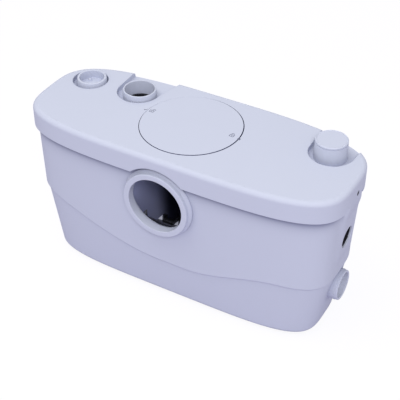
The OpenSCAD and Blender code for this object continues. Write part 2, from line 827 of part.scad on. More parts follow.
module fixed_knives() {
    knife_l = basket_l - 2 * (hopper_t + knife_gap);
    color(steel_color)
    translate([inlet_x, apron_front + knife_t, apron_top]) rotate([90, 0, 0]) linear_extrude(knife_t) {
        translate([-knife_l / 2, 0]) square([knife_l, comb_h]);
        for (i = [0:tooth_count - 1]) translate([tooth_offset + i * tooth_pitch, 0])
            polygon([[-tooth_w, 0], [tooth_lean, 0], [tooth_lean, comb_h], [0, tooth_h], [-tooth_w, comb_h]]);
    }
}

// Cutter on the shaft: a hub with two crossed pairs of blades
hub_d = 34;
hub_l = 44;
hub_x = inlet_x - hub_l / 2;
blade_t = 4;
blade_w = 14;
blade_sets = 2;

module cutter_hub() {
    color(steel_color)
    difference() {
        x_cyl(hub_d, hub_x, hub_x + hub_l);
        x_cyl(wet_shaft_d, hub_x - over, hub_x + hub_l + over);
        for (i = [0:blade_sets - 1]) blade_pair(i, seat_clear);
    }
}
module cutter_blades() {
    color(steel_color)
    for (i = [0:blade_sets - 1]) difference() {
        blade_pair(i, 0);
        x_cyl(wet_shaft_d, hub_x - over, hub_x + hub_l + over);
    }
}
module blade_pair(i, grow) {
    x = hub_x + hub_l * (i + 0.5) / blade_sets;
    translate([x, 0, shaft_z]) rotate([45 + 90 * i, 0, 0])
        cube([blade_t + 2 * grow, 2 * blade_r, blade_w + 2 * grow], center = true);
}

module shaft_bush() {
    color(black_color)
    x_ring(bush_d - 2 * seat_clear, wet_shaft_d + 2 * run_clear, basket_x0 - bush_out,
           basket_x0 + basket_wall + bush_in);
}

// Motor: housing with a front wall, windings, core and two bearings
seal_boss_l = 12;
motor_x = basket_x1 + motor_gap + seal_boss_l;
motor_x1 = motor_x + motor_l;
front_wall = 6;
end_cap_t = 6;
seal_d = 30;
seal_l = 9;
seal_back = 2;
hub_wall = 4;
core_shift = 2;
core_x0 = motor_x + (motor_l - core_l) / 2 + core_shift;
core_x1 = core_x0 + core_l;
core_d = motor_d - 2 * motor_wall - 2 * seat_clear;
core_bore = rotor_d + 2 * air_gap;
winding_l = 11;
winding_in_gap = 4;
winding_out_gap = 7;
winding_id = core_bore + 2 * winding_in_gap;
winding_d = core_d - 2 * winding_out_gap;
shaft_room = 1.5;
shaft_step_x = motor_x - seal_boss_l - over;
shaft_x1 = motor_x1 + end_cap_t / 2;
front_bearing_x = motor_x + front_wall;
rear_bearing_inset = 2;
rear_bearing_x = motor_x1 - bearing_w - rear_bearing_inset;
bearing_lip = 1;

module motor_shaft() {
    color(steel_color) {
        x_cyl(wet_shaft_d, shaft_x0, shaft_step_x + over);
        x_cyl(shaft_d, shaft_step_x, shaft_x1);
    }
}
module rotor_core() {
    color(grey_color) x_ring(rotor_d, shaft_d, core_x0, core_x1);
}
module stator_core() {
    color(grey_color)
    x_ring(core_d, core_bore, core_x0, core_x1);
}
module stator_windings() {
    color(copper_color) {
        x_ring(winding_d, winding_id, core_x0 - winding_l, core_x0);
        x_ring(winding_d, winding_id, core_x1, core_x1 + winding_l);
    }
}
module motor_housing() {
    color(steel_color)
    difference() {
        union() {
            difference() {
                x_cyl(motor_d, motor_x, motor_x1);
                x_cyl(motor_d - 2 * motor_wall, motor_x + front_wall, motor_x1 + over);
            }
            x_cyl(seal_d + 2 * hub_wall, motor_x - seal_boss_l, motor_x + over);
            x_cyl(bearing_d + 2 * hub_wall, front_bearing_x - over,
                  front_bearing_x + bearing_w + bearing_lip);
        }
        x_cyl(seal_d, motor_x - seal_boss_l - over, motor_x - seal_back);
        x_cyl(shaft_d + 2 * shaft_room, motor_x - seal_back - over, front_bearing_x + over);
        x_cyl(bearing_d, front_bearing_x, front_bearing_x + bearing_w + bearing_lip + over);
        motor_screw_holes();
    }
}
module motor_end_cap() {
    color(steel_color)
    difference() {
        union() {
            x_cyl(motor_d, motor_x1, motor_x1 + end_cap_t);
            x_cyl(bearing_d + 2 * hub_wall, rear_bearing_x - bearing_lip, motor_x1 + over);
        }
        x_cyl(bearing_d, rear_bearing_x - bearing_lip - over, rear_bearing_x + bearing_w);
        x_cyl(shaft_d + 2 * shaft_room, rear_bearing_x, shaft_x1 + over);
        motor_screw_holes();
    }
}
module front_bearing() {
    color(grey_color)
    x_ring(bearing_d - 2 * seat_clear, shaft_d + 2 * run_clear, front_bearing_x, front_bearing_x + bearing_w);
}
module rear_bearing() {
    color(grey_color)
    x_ring(bearing_d - 2 * seat_clear, shaft_d + 2 * run_clear, rear_bearing_x, rear_bearing_x + bearing_w);
}
module shaft_seal() {
    color(rubber_color)
    x_ring(seal_d - 2 * seat_clear, shaft_d + 2 * run_clear, motor_x - seal_back - seal_l,
           motor_x - seal_back);
}

// Screws that hold the end cap, in the housing's wall
motor_screw_count = 4;
motor_screw_r = (motor_d - motor_wall) / 2;
motor_screw_d = 1.8;
motor_screw_l = 14;
motor_screw_head_d = 3;
motor_screw_head_h = 2;
end_cap_x = motor_x1 + end_cap_t;
module motor_screw_places() {
    for (i = [0:motor_screw_count - 1])
        rotate([45 + 360 * i / motor_screw_count, 0, 0]) translate([0, motor_screw_r, 0]) children();
}
module motor_screw_holes() {
    translate([0, 0, shaft_z]) motor_screw_places()
        x_cyl(motor_screw_d, end_cap_x - motor_screw_l - over, end_cap_x + over, 0, 0);
}
module motor_screws() {
    color(steel_color)
    translate([0, 0, shaft_z]) motor_screw_places() {
        x_cyl(motor_screw_d - 2 * run_clear, end_cap_x - motor_screw_l, end_cap_x, 0, 0);
        x_cyl(motor_screw_head_d, end_cap_x, end_cap_x + motor_screw_head_h, 0, 0);
    }
}

// Cradle between the tank's floor and the motor
saddle_w = 12;
saddle_half = 38;
saddle_depth = 24;
saddle_top = shaft_z - motor_d / 2 + saddle_depth;
cradle_t = 3;
cradle_inset_front = 12;
cradle_inset_back = 8;
cradle_x0 = motor_x + cradle_inset_front;
cradle_x1 = motor_x1 - cradle_inset_back;
module motor_cradle() {
    color(rubber_color)
    difference() {
        union() {
            block([cradle_x0, -saddle_half, floor_z], [cradle_x1, saddle_half, floor_z + cradle_t]);
            for (x = [cradle_x0, cradle_x1 - saddle_w])
                block([x, -saddle_half, floor_z], [x + saddle_w, saddle_half, saddle_top]);
        }
        x_cyl(motor_d + 2 * seat_clear, motor_x, motor_x1);
    }
}

// Pump at the shaft's left end, under the discharge outlet
pump_x0 = outlet_x - volute_w / 2;
pump_x1 = outlet_x + volute_w / 2;
pump_wall = 4;
flange_w = 8;
chamber_d = volute_d - 2 * flange_w;
pump_cover_t = 4;
pump_foot_inset = 4;
pump_foot_half = 28;
pump_foot_lap = 8;
pipe_stub = 12.5;
pipe_top = shaft_z + volute_d / 2 + pipe_stub;

module pump_volute() {
    color(black_color)
    difference() {
        union() {
            x_cyl(volute_d, pump_x0, pump_x1);
            z_cyl(pipe_d, shaft_z, pipe_top, outlet_x, socket_y);
            block([pump_x0 + pump_foot_inset, -pump_foot_half, floor_z],
                  [pump_x1 - pump_foot_inset, pump_foot_half, shaft_z - volute_d / 2 + pump_foot_lap]);
        }
        x_cyl(chamber_d, pump_x0 + pump_wall, pump_x1 + over);
        z_cyl(pipe_id, shaft_z, pipe_top + over, outlet_x, socket_y);
        pump_screw_holes();
    }
}
module pump_cover() {
    color(black_color)
    difference() {
        x_cyl(volute_d, pump_x1, pump_x1 + pump_cover_t);
        x_cyl(eye_d, pump_x1 - over, pump_x1 + pump_cover_t + over);
        pump_screw_holes();
    }
}
pump_screw_count = 6;
pump_screw_r = (volute_d + chamber_d) / 4;
pump_screw_d = 3;
pump_screw_l = 8;
pump_screw_head_d = 6;
pump_screw_head_h = 2.4;
pump_face = pump_x1 + pump_cover_t;
module pump_screw_places() {
    translate([0, 0, shaft_z]) for (i = [0:pump_screw_count - 1])
        rotate([360 * (i + 0.25) / pump_screw_count, 0, 0]) translate([0, pump_screw_r, 0]) children();
}
module pump_screw_holes() {
    pump_screw_places()
        x_cyl(pump_screw_d, pump_face - pump_screw_l - over, pump_face + over, 0, 0);
}
module pump_screws() {
    color(steel_color) pump_screw_places() {
        x_cyl(pump_screw_d - 2 * run_clear, pump_face - pump_screw_l, pump_face, 0, 0);
        x_cyl(pump_screw_head_d, pump_face, pump_face + pump_screw_head_h, 0, 0);
    }
}

vane_count = 6;
vane_t = 3;
impeller_disc_t = 3;
impeller_hub_d = 22;
vane_lap = 2;
vane_tip = 1;
impeller_back_gap = 2;
impeller_eye_gap = 5;
impeller_x0 = pump_x0 + pump_wall + impeller_back_gap;
impeller_x1 = pump_x1 - impeller_eye_gap;
shaft_x0 = impeller_x0 + impeller_disc_t + over;
module impeller() {
    color(grey_color)
    difference() {
        union() {
            x_cyl(impeller_d, impeller_x0, impeller_x0 + impeller_disc_t);
            x_cyl(impeller_hub_d, impeller_x0, impeller_x1);
            for (i = [0:vane_count - 1]) translate([0, 0, shaft_z]) rotate([360 * i / vane_count, 0, 0])
                block([impeller_x0, impeller_hub_d / 2 - vane_lap, -vane_t / 2],
                      [impeller_x1, impeller_d / 2 - vane_tip, vane_t / 2]);
        }
        x_cyl(wet_shaft_d, shaft_x0, impeller_x1 + over);
    }
}

// Rubber coupling with two clips, then the non-return valve and the riser to the lid
coupling_t = 3.5;
coupling_l = 30;
coupling_z = pipe_top - coupling_l / 2;
clip_w = 7;
clip_t = 1.4;
clip_inset = 3;
valve_shoulder = 1;
valve_z = pipe_top + coupling_l / 2 + valve_shoulder;
valve_floor_t = 4;
valve_seat_z = valve_z + valve_floor_t;
valve_wall = 3.5;
valve_id = valve_d - 2 * valve_wall;
check_lap = 3.5;
check_d = pipe_id + 2 * check_lap;
check_t = 2.6;
check_pin_d = 3;
check_pin_seat = 2;
check_knuckle_d = 6;
check_knuckle_w = 12;
check_arm_l = 14;
check_arm_t = 4;
check_wall_gap = 2.5;
check_hinge_x = outlet_x - valve_id / 2 + check_wall_gap + check_knuckle_d / 2;
check_hinge_rise = 5;
check_hinge_z = valve_seat_z + check_hinge_rise;
check_pin_half = sqrt(pow(valve_id / 2, 2) - pow(outlet_x - check_hinge_x, 2)) + check_pin_seat;
check_reach = outlet_x + check_d / 2 - check_hinge_x;
check_head = 1.5;
valve_chamber_top = check_hinge_z + check_reach * sin(flap_open) + check_head;
valve_top = valve_chamber_top + valve_floor_t;
riser_wall = 5.5;
riser_d = pipe_id + 2 * riser_wall;

module pump_coupling() {
    color(rubber_color)
    z_ring(pipe_d + 2 * coupling_t, pipe_d + 2 * seat_clear, coupling_z, coupling_z + coupling_l,
           outlet_x, socket_y);
}
module coupling_clips() {
    clip_id = pipe_d + 2 * coupling_t + 2 * seat_clear;
    color(steel_color)
    for (z = [coupling_z + clip_inset, coupling_z + coupling_l - clip_w - clip_inset])
        z_ring(clip_id + 2 * clip_t, clip_id, z, z + clip_w, outlet_x, socket_y);
}
module check_valve_body() {
    color(black_color)
    difference() {
        union() {
            z_cyl(pipe_d, pipe_top, valve_z + over, outlet_x, socket_y);
            z_cyl(valve_d, valve_z, valve_top, outlet_x, socket_y);
        }
        z_cyl(pipe_id, pipe_top - over, valve_top + over, outlet_x, socket_y);
        z_cyl(valve_id, valve_seat_z, valve_chamber_top, outlet_x, socket_y);
        y_cyl(check_pin_d + 2 * run_clear, socket_y - check_pin_half, socket_y + check_pin_half,
              check_hinge_x, check_hinge_z);
    }
}
module check_flap() {
    seat_z = valve_seat_z + run_clear;
    color(rubber_color)
    difference() {
        union() {
            z_cyl(check_d, seat_z, seat_z + check_t, outlet_x, socket_y);
            y_cyl(check_knuckle_d, socket_y - check_knuckle_w / 2, socket_y + check_knuckle_w / 2,
                  check_hinge_x, check_hinge_z);
            block([check_hinge_x, socket_y - check_knuckle_w / 2, seat_z],
                  [check_hinge_x + check_arm_l, socket_y + check_knuckle_w / 2, seat_z + check_arm_t]);
        }
        y_cyl(check_pin_d + 2 * run_clear, socket_y - check_knuckle_w, socket_y + check_knuckle_w,
              check_hinge_x, check_hinge_z);
    }
}
module check_pin() {
    color(steel_color)
    y_cyl(check_pin_d, socket_y - check_pin_half, socket_y + check_pin_half, check_hinge_x, check_hinge_z);
}
module discharge_riser() {
    color(black_color)
    z_ring(riser_d, pipe_id, valve_top, outlet_floor - socket_floor_t, outlet_x, socket_y);
}

// Pressure switch: air bell on the floor, diaphragm, plunger and a small switch with its lever
switch_x = (pump_x0 - tank_l / 2) / 2 + switch_shift;
bell_wall = 3;
bell_drop = 57;
bell_top = lid_under - bell_drop;
bell_slot_w = 14;
bell_slot_h = 10;
switch_wall = 4;
switch_face_t = 4;
housing_h = 12;
diaphragm_t = 1.2;
diaphragm_inset = 1;
diaphragm_z = bell_top + housing_h;
switch_cover_z = diaphragm_z + diaphragm_t;
plunger_plate_d = 40;
plunger_plate_t = 2.2;
plunger_stem_d = 10;
plunger_tip_d = 4;
plunger_tip_root = 5;
switch_cover_h = plunger_plate_t + plunger_travel + move_gap + switch_face_t;
switch_top = switch_cover_z + switch_cover_h;
switch_body_l = 28;
switch_body_h = 12;
switch_body_w = 16;
switch_body_gap = 4;
switch_body_x = switch_x + plunger_stem_d / 2 + switch_body_gap;
lever_t = 1;
lever_arm = 34;
lever_tail = 7;
lever_w = 8;
lever_pin_d = 2;
lever_hub_d = 4;
lever_hub_gap = 0.3;
lever_x = switch_x + lever_arm;
lever_z = switch_top + switch_body_h + lever_hub_d / 2 + lever_hub_gap;
lever_ear_t = 3;
lever_ear_half = 3;
lever_ear_gap = 0.5;
stem_top = lever_z - lever_t / 2 - move_gap;

module pressure_bell() {
    color(grey_color)
    difference() {
        z_cyl(bell_d, floor_z, bell_top, switch_x, switch_y);
        z_cyl(bell_d - 2 * bell_wall, floor_z - over, bell_top + over, switch_x, switch_y);
        block([switch_x - bell_d, switch_y - bell_slot_w / 2, floor_z - over],
              [switch_x + bell_d, switch_y + bell_slot_w / 2, floor_z + bell_slot_h]);
    }
}
module switch_housing() {
    color(black_color)
    difference() {
        z_cyl(switch_d, bell_top, diaphragm_z, switch_x, switch_y);
        z_cyl(switch_d - 2 * switch_wall, bell_top + switch_face_t, diaphragm_z + over, switch_x, switch_y);
        z_cyl(bell_d - 2 * bell_wall, bell_top - over, bell_top + switch_face_t + over, switch_x, switch_y);
    }
}
module switch_diaphragm() {
    color(rubber_color)
    z_cyl(switch_d - 2 * diaphragm_inset, diaphragm_z, switch_cover_z, switch_x, switch_y);
}
module switch_cover() {
    color(black_color)
    difference() {
        z_cyl(switch_d, switch_cover_z, switch_top, switch_x, switch_y);
        z_cyl(switch_d - 2 * switch_wall, switch_cover_z - over, switch_top - switch_face_t, switch_x,
              switch_y);
        z_cyl(plunger_stem_d + 2 * run_clear, switch_cover_z, switch_top + over, switch_x, switch_y);
    }
}
module switch_plunger() {
    color(grey_color) {
        z_cyl(plunger_plate_d, switch_cover_z + run_clear, switch_cover_z + plunger_plate_t, switch_x,
              switch_y);
        z_cyl(plunger_stem_d, switch_cover_z + run_clear, stem_top - plunger_tip_root, switch_x, switch_y);
        z_cyl(plunger_tip_d, switch_cover_z + run_clear, stem_top, switch_x, switch_y);
    }
}
module microswitch() {
    ear_y = lever_w / 2 + lever_ear_gap;
    color(black_color)
    difference() {
        union() {
            block([switch_body_x, switch_y - switch_body_w / 2, switch_top],
                  [switch_body_x + switch_body_l, switch_y + switch_body_w / 2, switch_top + switch_body_h]);
            for (s = [-1, 1]) translate([0, switch_y + s * (ear_y + lever_ear_t / 2), 0])
                block([lever_x - lever_ear_half, -lever_ear_t / 2, switch_top + switch_body_h - over],
                      [lever_x + lever_ear_half, lever_ear_t / 2, lever_z + lever_ear_half]);
        }
        y_cyl(lever_pin_d + 2 * run_clear, switch_y - switch_body_w, switch_y + switch_body_w, lever_x,
              lever_z);
    }
}
module switch_lever() {
    color(steel_color)
    difference() {
        union() {
            block([switch_x - lever_tail, switch_y - lever_w / 2, lever_z - lever_t / 2],
                  [lever_x, switch_y + lever_w / 2, lever_z + lever_t / 2]);
            y_cyl(lever_hub_d, switch_y - lever_w / 2, switch_y + lever_w / 2, lever_x, lever_z);
        }
        y_cyl(lever_pin_d + 2 * run_clear, switch_y - lever_w, switch_y + lever_w, lever_x, lever_z);
    }
}
module lever_pin() {
    half = lever_w / 2 + lever_ear_gap + lever_ear_t;
    color(steel_color) y_cyl(lever_pin_d, switch_y - half, switch_y + half, lever_x, lever_z);
}

// Dry box on top of the motor with the capacitor and the terminals
box_wall = 3;
box_inset_front = 12;
box_inset_back = 4;
box_x0 = motor_x + box_inset_front;
box_x1 = motor_x1 - box_inset_back;
box_half = 30;
box_floor_t = 5;
box_floor = shaft_z + motor_d / 2 + box_floor_t;
box_skirt = 14;
box_depth = 36;
box_top = box_floor + box_depth;
box_lid_t = 3;
control_screw_d = 1.6;
control_screw_l = 7;
control_screw_head_d = 3;
control_screw_head_h = 1.5;
capacitor_d = 29;
capacitor_inset = 6;
terminal_inset = 12;
terminal_w = 12;
terminal_h = 14;
module control_box() {
    color(black_color)
    difference() {
        block([box_x0, -box_half, shaft_z + motor_d / 2 - box_skirt], [box_x1, box_half, box_top]);
        block([box_x0 + box_wall, -box_half + box_wall, box_floor],
              [box_x1 - box_wall, box_half - box_wall, box_top + over]);
        x_cyl(motor_d + 2 * seat_clear, motor_x, motor_x1);
        control_screw_places() z_cyl(control_screw_d, box_top - control_screw_l - over, box_top + over, 0, 0);
    }
}
module control_lid() {
    color(black_color)
    difference() {
        block([box_x0, -box_half, box_top], [box_x1, box_half, box_top + box_lid_t]);
        control_screw_places() z_cyl(control_screw_d, box_top - over, box_top + box_lid_t + over, 0, 0);
    }
}
module control_screw_places() {
    inset = box_wall / 2;
    for (x = [box_x0 + inset, box_x1 - inset], y = [-box_half + inset, box_half - inset])
        translate([x, y, 0]) children();
}
module control_screws() {
    head_z = box_top + box_lid_t;
    color(steel_color) control_screw_places() {
        z_cyl(control_screw_d - 2 * run_clear, box_top - control_screw_l, head_z, 0, 0);
        z_cyl(control_screw_head_d, head_z, head_z + control_screw_head_h, 0, 0);
    }
}
module capacitor() {
    color(grey_color)
    x_cyl(capacitor_d, box_x0 + box_wall + capacitor_inset, box_x1 - box_wall - capacitor_inset,
          -box_half + box_wall + capacitor_d / 2 + seat_clear, box_floor + capacitor_d / 2 + seat_clear);
}
module terminal_block() {
    color(grey_color)
    block([box_x0 + box_wall + terminal_inset, box_half - box_wall - terminal_w, box_floor],
          [box_x1 - box_wall - terminal_inset, box_half - box_wall, box_floor + terminal_h]);
}

// Cable gland through the tank's back wall
gland_x = 120;
gland_drop = 26;
gland_z = skirt_z - gland_drop;
gland_d = 16;
gland_bore = 8;
gland_flange_d = 26;
gland_flange_gap = 1.5;
gland_nut_d = 26;
gland_nut_h = 5;
gland_wall_y = plan_reach(upper_half(tank_w, upper_taper_w, gland_z),
                          upper_half(tank_l, upper_taper_l, gland_z), gland_x, plan_back);
gland_reach = 3.5;
gland_out = lid_w / 2 + gland_reach;
gland_in_l = 16;
gland_in = gland_wall_y - gland_in_l;
gland_nut_gap = 7;
gland_nut_y = gland_wall_y - gland_nut_gap - gland_nut_h;
// Square neck that keeps the gland from turning in the wall
module gland_square(side, y0, y1) {
    block([gland_x - side / 2, y0, gland_z - side / 2], [gland_x + side / 2, y1, gland_z + side / 2]);
}
module gland_hole() {
    gland_square(gland_d + 2 * seat_clear, 0, lid_w);
}
module cable_gland() {
    color(rubber_color)
    difference() {
        union() {
            y_cyl(gland_d, gland_in, gland_out, gland_x, gland_z);
            gland_square(gland_d, gland_nut_y + gland_nut_h, gland_wall_y + gland_flange_gap);
            y_cyl(gland_flange_d, gland_wall_y + gland_flange_gap, gland_out, gland_x, gland_z);
        }
        y_cyl(gland_bore, gland_in - over, gland_out + over, gland_x, gland_z);
    }
}
module gland_nut() {
    color(rubber_color)
    difference() {
        translate([gland_x, gland_nut_y, gland_z]) rotate([-90, 0, 0])
            cylinder(d = gland_nut_d, h = gland_nut_h, $fn = 6);
        y_cyl(gland_d + 2 * run_clear, gland_nut_y - over, gland_nut_y + gland_nut_h + over, gland_x,
              gland_z);
    }
}

module low_flap() { color(rubber_color) side_flap(low_seat_x, low_z, low_id); }
module low_flap_pin() { color(steel_color) flap_pin(low_seat_x, low_z, low_id); }
module high_flap() { color(rubber_color) side_flap(high_seat_x, high_z, high_id); }
module high_flap_pin() { color(steel_color) flap_pin(high_seat_x, high_z, high_id); }

// Carbon filter under the lid, in a ring
filter_x = 118;
filter_y = -22;
filter_d = 44;
filter_h = 18;
holder_wall = 2.5;
holder_floor_t = 3;
holder_lip = 5;
module carbon_filter() {
    color(black_color) z_cyl(filter_d - 2 * seat_clear, lid_under - filter_h, lid_under, filter_x, filter_y);
}
module filter_holder() {
    color(shell_color)
    difference() {
        z_cyl(filter_d + 2 * holder_wall, lid_under - filter_h - holder_floor_t, lid_under, filter_x,
              filter_y);
        z_cyl(filter_d, lid_under - filter_h, lid_under + over, filter_x, filter_y);
        z_cyl(filter_d - 2 * holder_lip, lid_under - filter_h - holder_floor_t - over, lid_under,
              filter_x, filter_y);
    }
}

tank();
side_panel();
lid();
lid_skirt();
lid_sockets();
lid_gasket();
lid_screws();
inspection_cover();
cover_seal();
outlet_cap();
cap_seal();
feet();
inlet_hopper();
grinder_basket();
fixed_knives();
cutter_hub();
cutter_blades();
shaft_bush();
motor_shaft();
rotor_core();
stator_core();
stator_windings();
motor_housing();
motor_end_cap();
front_bearing();
rear_bearing();
shaft_seal();
motor_cradle();
motor_screws();
pump_volute();
pump_cover();
pump_screws();
impeller();
pump_coupling();
coupling_clips();
check_valve_body();
check_flap();
check_pin();
discharge_riser();
pressure_bell();
switch_housing();
switch_diaphragm();
switch_cover();
switch_plunger();
microswitch();
switch_lever();
lever_pin();
control_box();
control_lid();
control_screws();
capacitor();
terminal_block();
cable_gland();
gland_nut();
low_flap();
low_flap_pin();
high_flap();
high_flap_pin();
carbon_filter();
filter_holder();
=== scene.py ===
"""Macerator toilet pump: moulded shells, small fittings, finishes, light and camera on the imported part."""
import bisect
import json
import math
from typing import NamedTuple

import bmesh
import bpy
from bpy.props import FloatProperty, FloatVectorProperty, PointerProperty
from mathutils import Matrix, Vector


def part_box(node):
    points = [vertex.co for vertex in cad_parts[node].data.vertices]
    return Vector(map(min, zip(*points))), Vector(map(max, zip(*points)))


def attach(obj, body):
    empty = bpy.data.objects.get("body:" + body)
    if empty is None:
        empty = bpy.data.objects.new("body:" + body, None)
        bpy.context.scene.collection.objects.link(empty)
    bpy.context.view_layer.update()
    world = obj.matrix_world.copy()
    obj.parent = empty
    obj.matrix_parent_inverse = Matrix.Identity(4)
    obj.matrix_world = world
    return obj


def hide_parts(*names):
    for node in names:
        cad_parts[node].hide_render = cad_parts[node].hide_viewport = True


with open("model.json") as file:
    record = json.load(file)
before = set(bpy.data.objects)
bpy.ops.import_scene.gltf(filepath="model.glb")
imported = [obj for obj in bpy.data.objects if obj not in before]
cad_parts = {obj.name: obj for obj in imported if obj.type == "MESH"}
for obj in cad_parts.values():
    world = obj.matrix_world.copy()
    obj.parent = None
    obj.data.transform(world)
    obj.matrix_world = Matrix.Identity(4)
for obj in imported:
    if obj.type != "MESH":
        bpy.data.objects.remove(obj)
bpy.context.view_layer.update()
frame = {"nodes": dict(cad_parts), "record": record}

bl_info = {
    "name": "Macerator pump",
    "version": (1, 0, 0),
    "blender": (4, 5, 0),
    "location": "View3D > Sidebar > Pump",
    "description": "Moulded shells, fittings and finishes of a macerator toilet pump",
    "category": "Object",
}

MM = 0.001


def node_box(node):
    """Lowest and highest corner of a solid of the part, in millimetres."""
    low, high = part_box(node)
    return low / MM, high / MM


# Places of the solids, in millimetres. The meshes are made in millimetres and scaled at the end.
LID_LOW, LID_HIGH = node_box("lid")
TANK_LOW, TANK_HIGH = node_box("tank")
PAD_LOW, PAD_HIGH = node_box("side_panel")
LID_HALF = (LID_HIGH.x, LID_HIGH.y)
LID_TOP, LEDGE_Z = LID_HIGH.z, LID_LOW.z
SKIRT_Z = node_box("lid_skirt")[0].z
TANK_Z, RIM_Z = TANK_LOW.z, TANK_HIGH.z

# Lid: underside, wall and ledge, fullness of its plan at the front and of both plans at the back
LID_UNDER, LID_WALL, LEDGE_W = 255.0, 3.0, 14.0
LID_FRONT, PLAN_BACK = 4.0, 3.3

# Tank: half sizes at rim and foot, floor, wall, taper and fullness of its plan at the front
TANK_HALF, FOOT_HALF = (240.5, 87.5), (220.0, 75.0)
FLOOR_Z, TANK_WALL = 7.0, 4.0
TAPER, TAPER_Z = 2.5, 100.0
TANK_FRONT = 4.5

# Wave crease: lowest height and the inside's knee, then rise, start and run towards each end
CREASE_LOW, CREASE_TOP = 71.5, 120.0
CREASE_RIGHT = (30.0, 30.0, 150.0)
CREASE_LEFT = (50.0, 10.0, 250.0)

# Pan inlet: centre, face, back of the bore, radii and depths of the ring, and the arch over it
INLET_X, INLET_Z = -8.0, 181.5
INLET_FACE, INLET_BACK = TANK_LOW.y, -86.0
INLET_BORE, INLET_RING, INLET_COLLAR, INLET_HOLE = 42.5, 51.0, 54.6, 47.0
INLET_NECK_Y, INLET_COLLAR_Y, INLET_ROOT_Y = -92.2, -88.6, -83.5
INLET_TAIL, INLET_WAY_Y, INLET_NECK_R, INLET_COLLAR_EDGE = (46.5, -83.2), (-100, -60), 3.5, 1.2
ARCH_R, ARCH_BACK = 58.5, -80.0

# Inspection cover: disc, groove and its shaded band, ring under the seat, plug, lugs and their notches
COVER_AT, COVER_R, COVER_SEAT = (-8.0, 4.5), 73.5, 254.0
GROOVE_SHIFT, GROOVE_BAND, GROOVE_SOFT, GROOVE_DROP = 0.7, (73.2, 76.5), 0.4, (0.1, 0.5)
SEAT_BREAK, SEAT_BEND = 0.25, 0.08
COVER_RING_Z, COVER_RING_R, COVER_WAY_R = 247.5, 80.3, 68.5
PLUG_OUT, PLUG_IN, PLUG_Z = 68.2, 62.2, 238.0
PLUG_SEAL_R, PLUG_SEAL_Z = 65.8, (250.4, 252.8)
LUGS, LUG_R, LUG_Z, LUG_WIDE = 3, (65.2, 71.9), (243.7, 247.2), 24
NOTCH_TURN, NOTCH_R, NOTCH_WIDE = 40, (60, 72.5), 28

# Height at which the cuts up through the lid start
CUT_Z = 240

# Sockets on the lid, then each recess: centre, radius and widening to the left and right at the back
OUTLET_AT, BLIND_AT, CAPPED_AT = (-116.0, 40.0), (-199.5, 37.5), (189.5, 40.0)
SOCKET_HOLES = ((OUTLET_AT, 24.5), (BLIND_AT, 21.8), (CAPPED_AT, 20.6))
RECESS_Z, RECESS_BACK = 250.0, 95.5
OUTLET_RECESS = ((-120.0, 44.0), 32.4, 2.5, 11.0)
CAPPED_RECESS = ((191.0, 40.0), 32.3, 2.5, 2.5)
BLIND_WELL, BLIND_WELL_R = (-201.0, 36.0), 26.7

# Fillets of the small mouldings, at their edges and at their feet or crowns
EDGE_R, FOOT_R = 0.6, 0.8

# Sockets, gate stub and lip seal: sink and flare of a socket's foot, then radii, and heights from below up
SOCKET_SINK, SOCKET_FLARE = 0.03, 2.5
OUTLET_R, OUTLET_IN, OUTLET_WAY, OUTLET_Z = 24.4, 22.2, 13.5, (231.7, 235.0, 266.0)
BLIND_R, BLIND_IN, BLIND_Z = 21.7, 18.5, (246.2, 249.5, 262.5)
NECK_R, NECK_IN, NECK_Z = 20.5, 17.0, (236.7, 240.0, 270.0)
NECK_SEAL_R, NECK_SEAL_Z = 18.9, (263.0, 265.4)
GATE_AT, GATE_R, GATE_TIP_R, GATE_Z = (BLIND_AT[0] - 9.5, BLIND_AT[1] + 7.5), 3.2, 2.0, (248, 250.2, 252.8)
LIP_SEAL_R, LIP_SEAL_IN, LIP_SEAL_Z = 22.15, (19.4, 19.8), (238.5, 243.4, 243.9)

# Cap: bore, wall at its top and foot, gap under its foot, heights, and its fine parting line
CAP_BORE, CAP_R, CAP_FOOT_R, CAP_GAP = 20.8, 22.7, 23.3, 0.3
CAP_UNDER, CAP_SHOULDER, CAP_TOP, CAP_DISH_Z = 270.3, 278.4, 279.5, 279.0
CAP_LINE_R, CAP_LINE_Z, CAP_LINE_LEAN = 21.8, (275.6, 276.9), 0.2
CAP_RIM_R, CAP_DISH_R = (21.7, 20.9), 20.5

# Side inlets: shared y, then height, bore, seat and tube of each, the upper one's sleeve and the flaps' ears
SIDE_Y = -3.0
HIGH_Z, HIGH_R, HIGH_SEAT, HIGH_WALL, HIGH_END = 161.0, 16.0, 212.0, 4.0, 237.0
HIGH_BORE_X, HIGH_PAST = 200, 6
SLEEVE_T, SLEEVE_IN, SLEEVE_DROP = 0.8, 214.0, 3.0
LOW_Z, LOW_R, LOW_SEAT, LOW_HOLE = 73.0, 19.0, 205.0, 20.5
LOW_WAY_X, LOW_BORE_X, LOW_COLLAR_EDGE = (200, 250), (190, 250), 0.25
LOW_TUBE, LOW_SPIGOT, LOW_MOUTH, LOW_COLLAR = 23.0, 22.4, 243.5, 238.7
EAR_PIN_X, EAR_PIN_Z, EAR_Y, EAR_HALF, EAR_R, EAR_REACH = 1.3, 7.6, 9.5, 1.5, 3.0, 9.0

# Pad at the right end: heights, face at foot and top, soft edges, notch in the skirt and flare at the top
PAD_Z0, PAD_Z1 = 123.0, 229.0
PAD_X0, PAD_X1 = 239.0, 245.0
PAD_LEAST_X, PAD_DENSE_X, PAD_MIDDLE, PAD_SPAN = 200.0, 225.0, -6.5, 36.0
PAD_BACK_EDGE, PAD_FOOT_EDGE, PAD_TOP_EDGE = 1.5, 12.0, 1.5
PAD_NOTCH_GAP, PAD_NOTCH_PLAY, PAD_NOTCH_X = 1.3, 0.6, (236.5, 250.0)
PAD_FLARE_Z, PAD_FLUSH_Z, PAD_FLUSH_X = 200.0, 220.0, 246.3

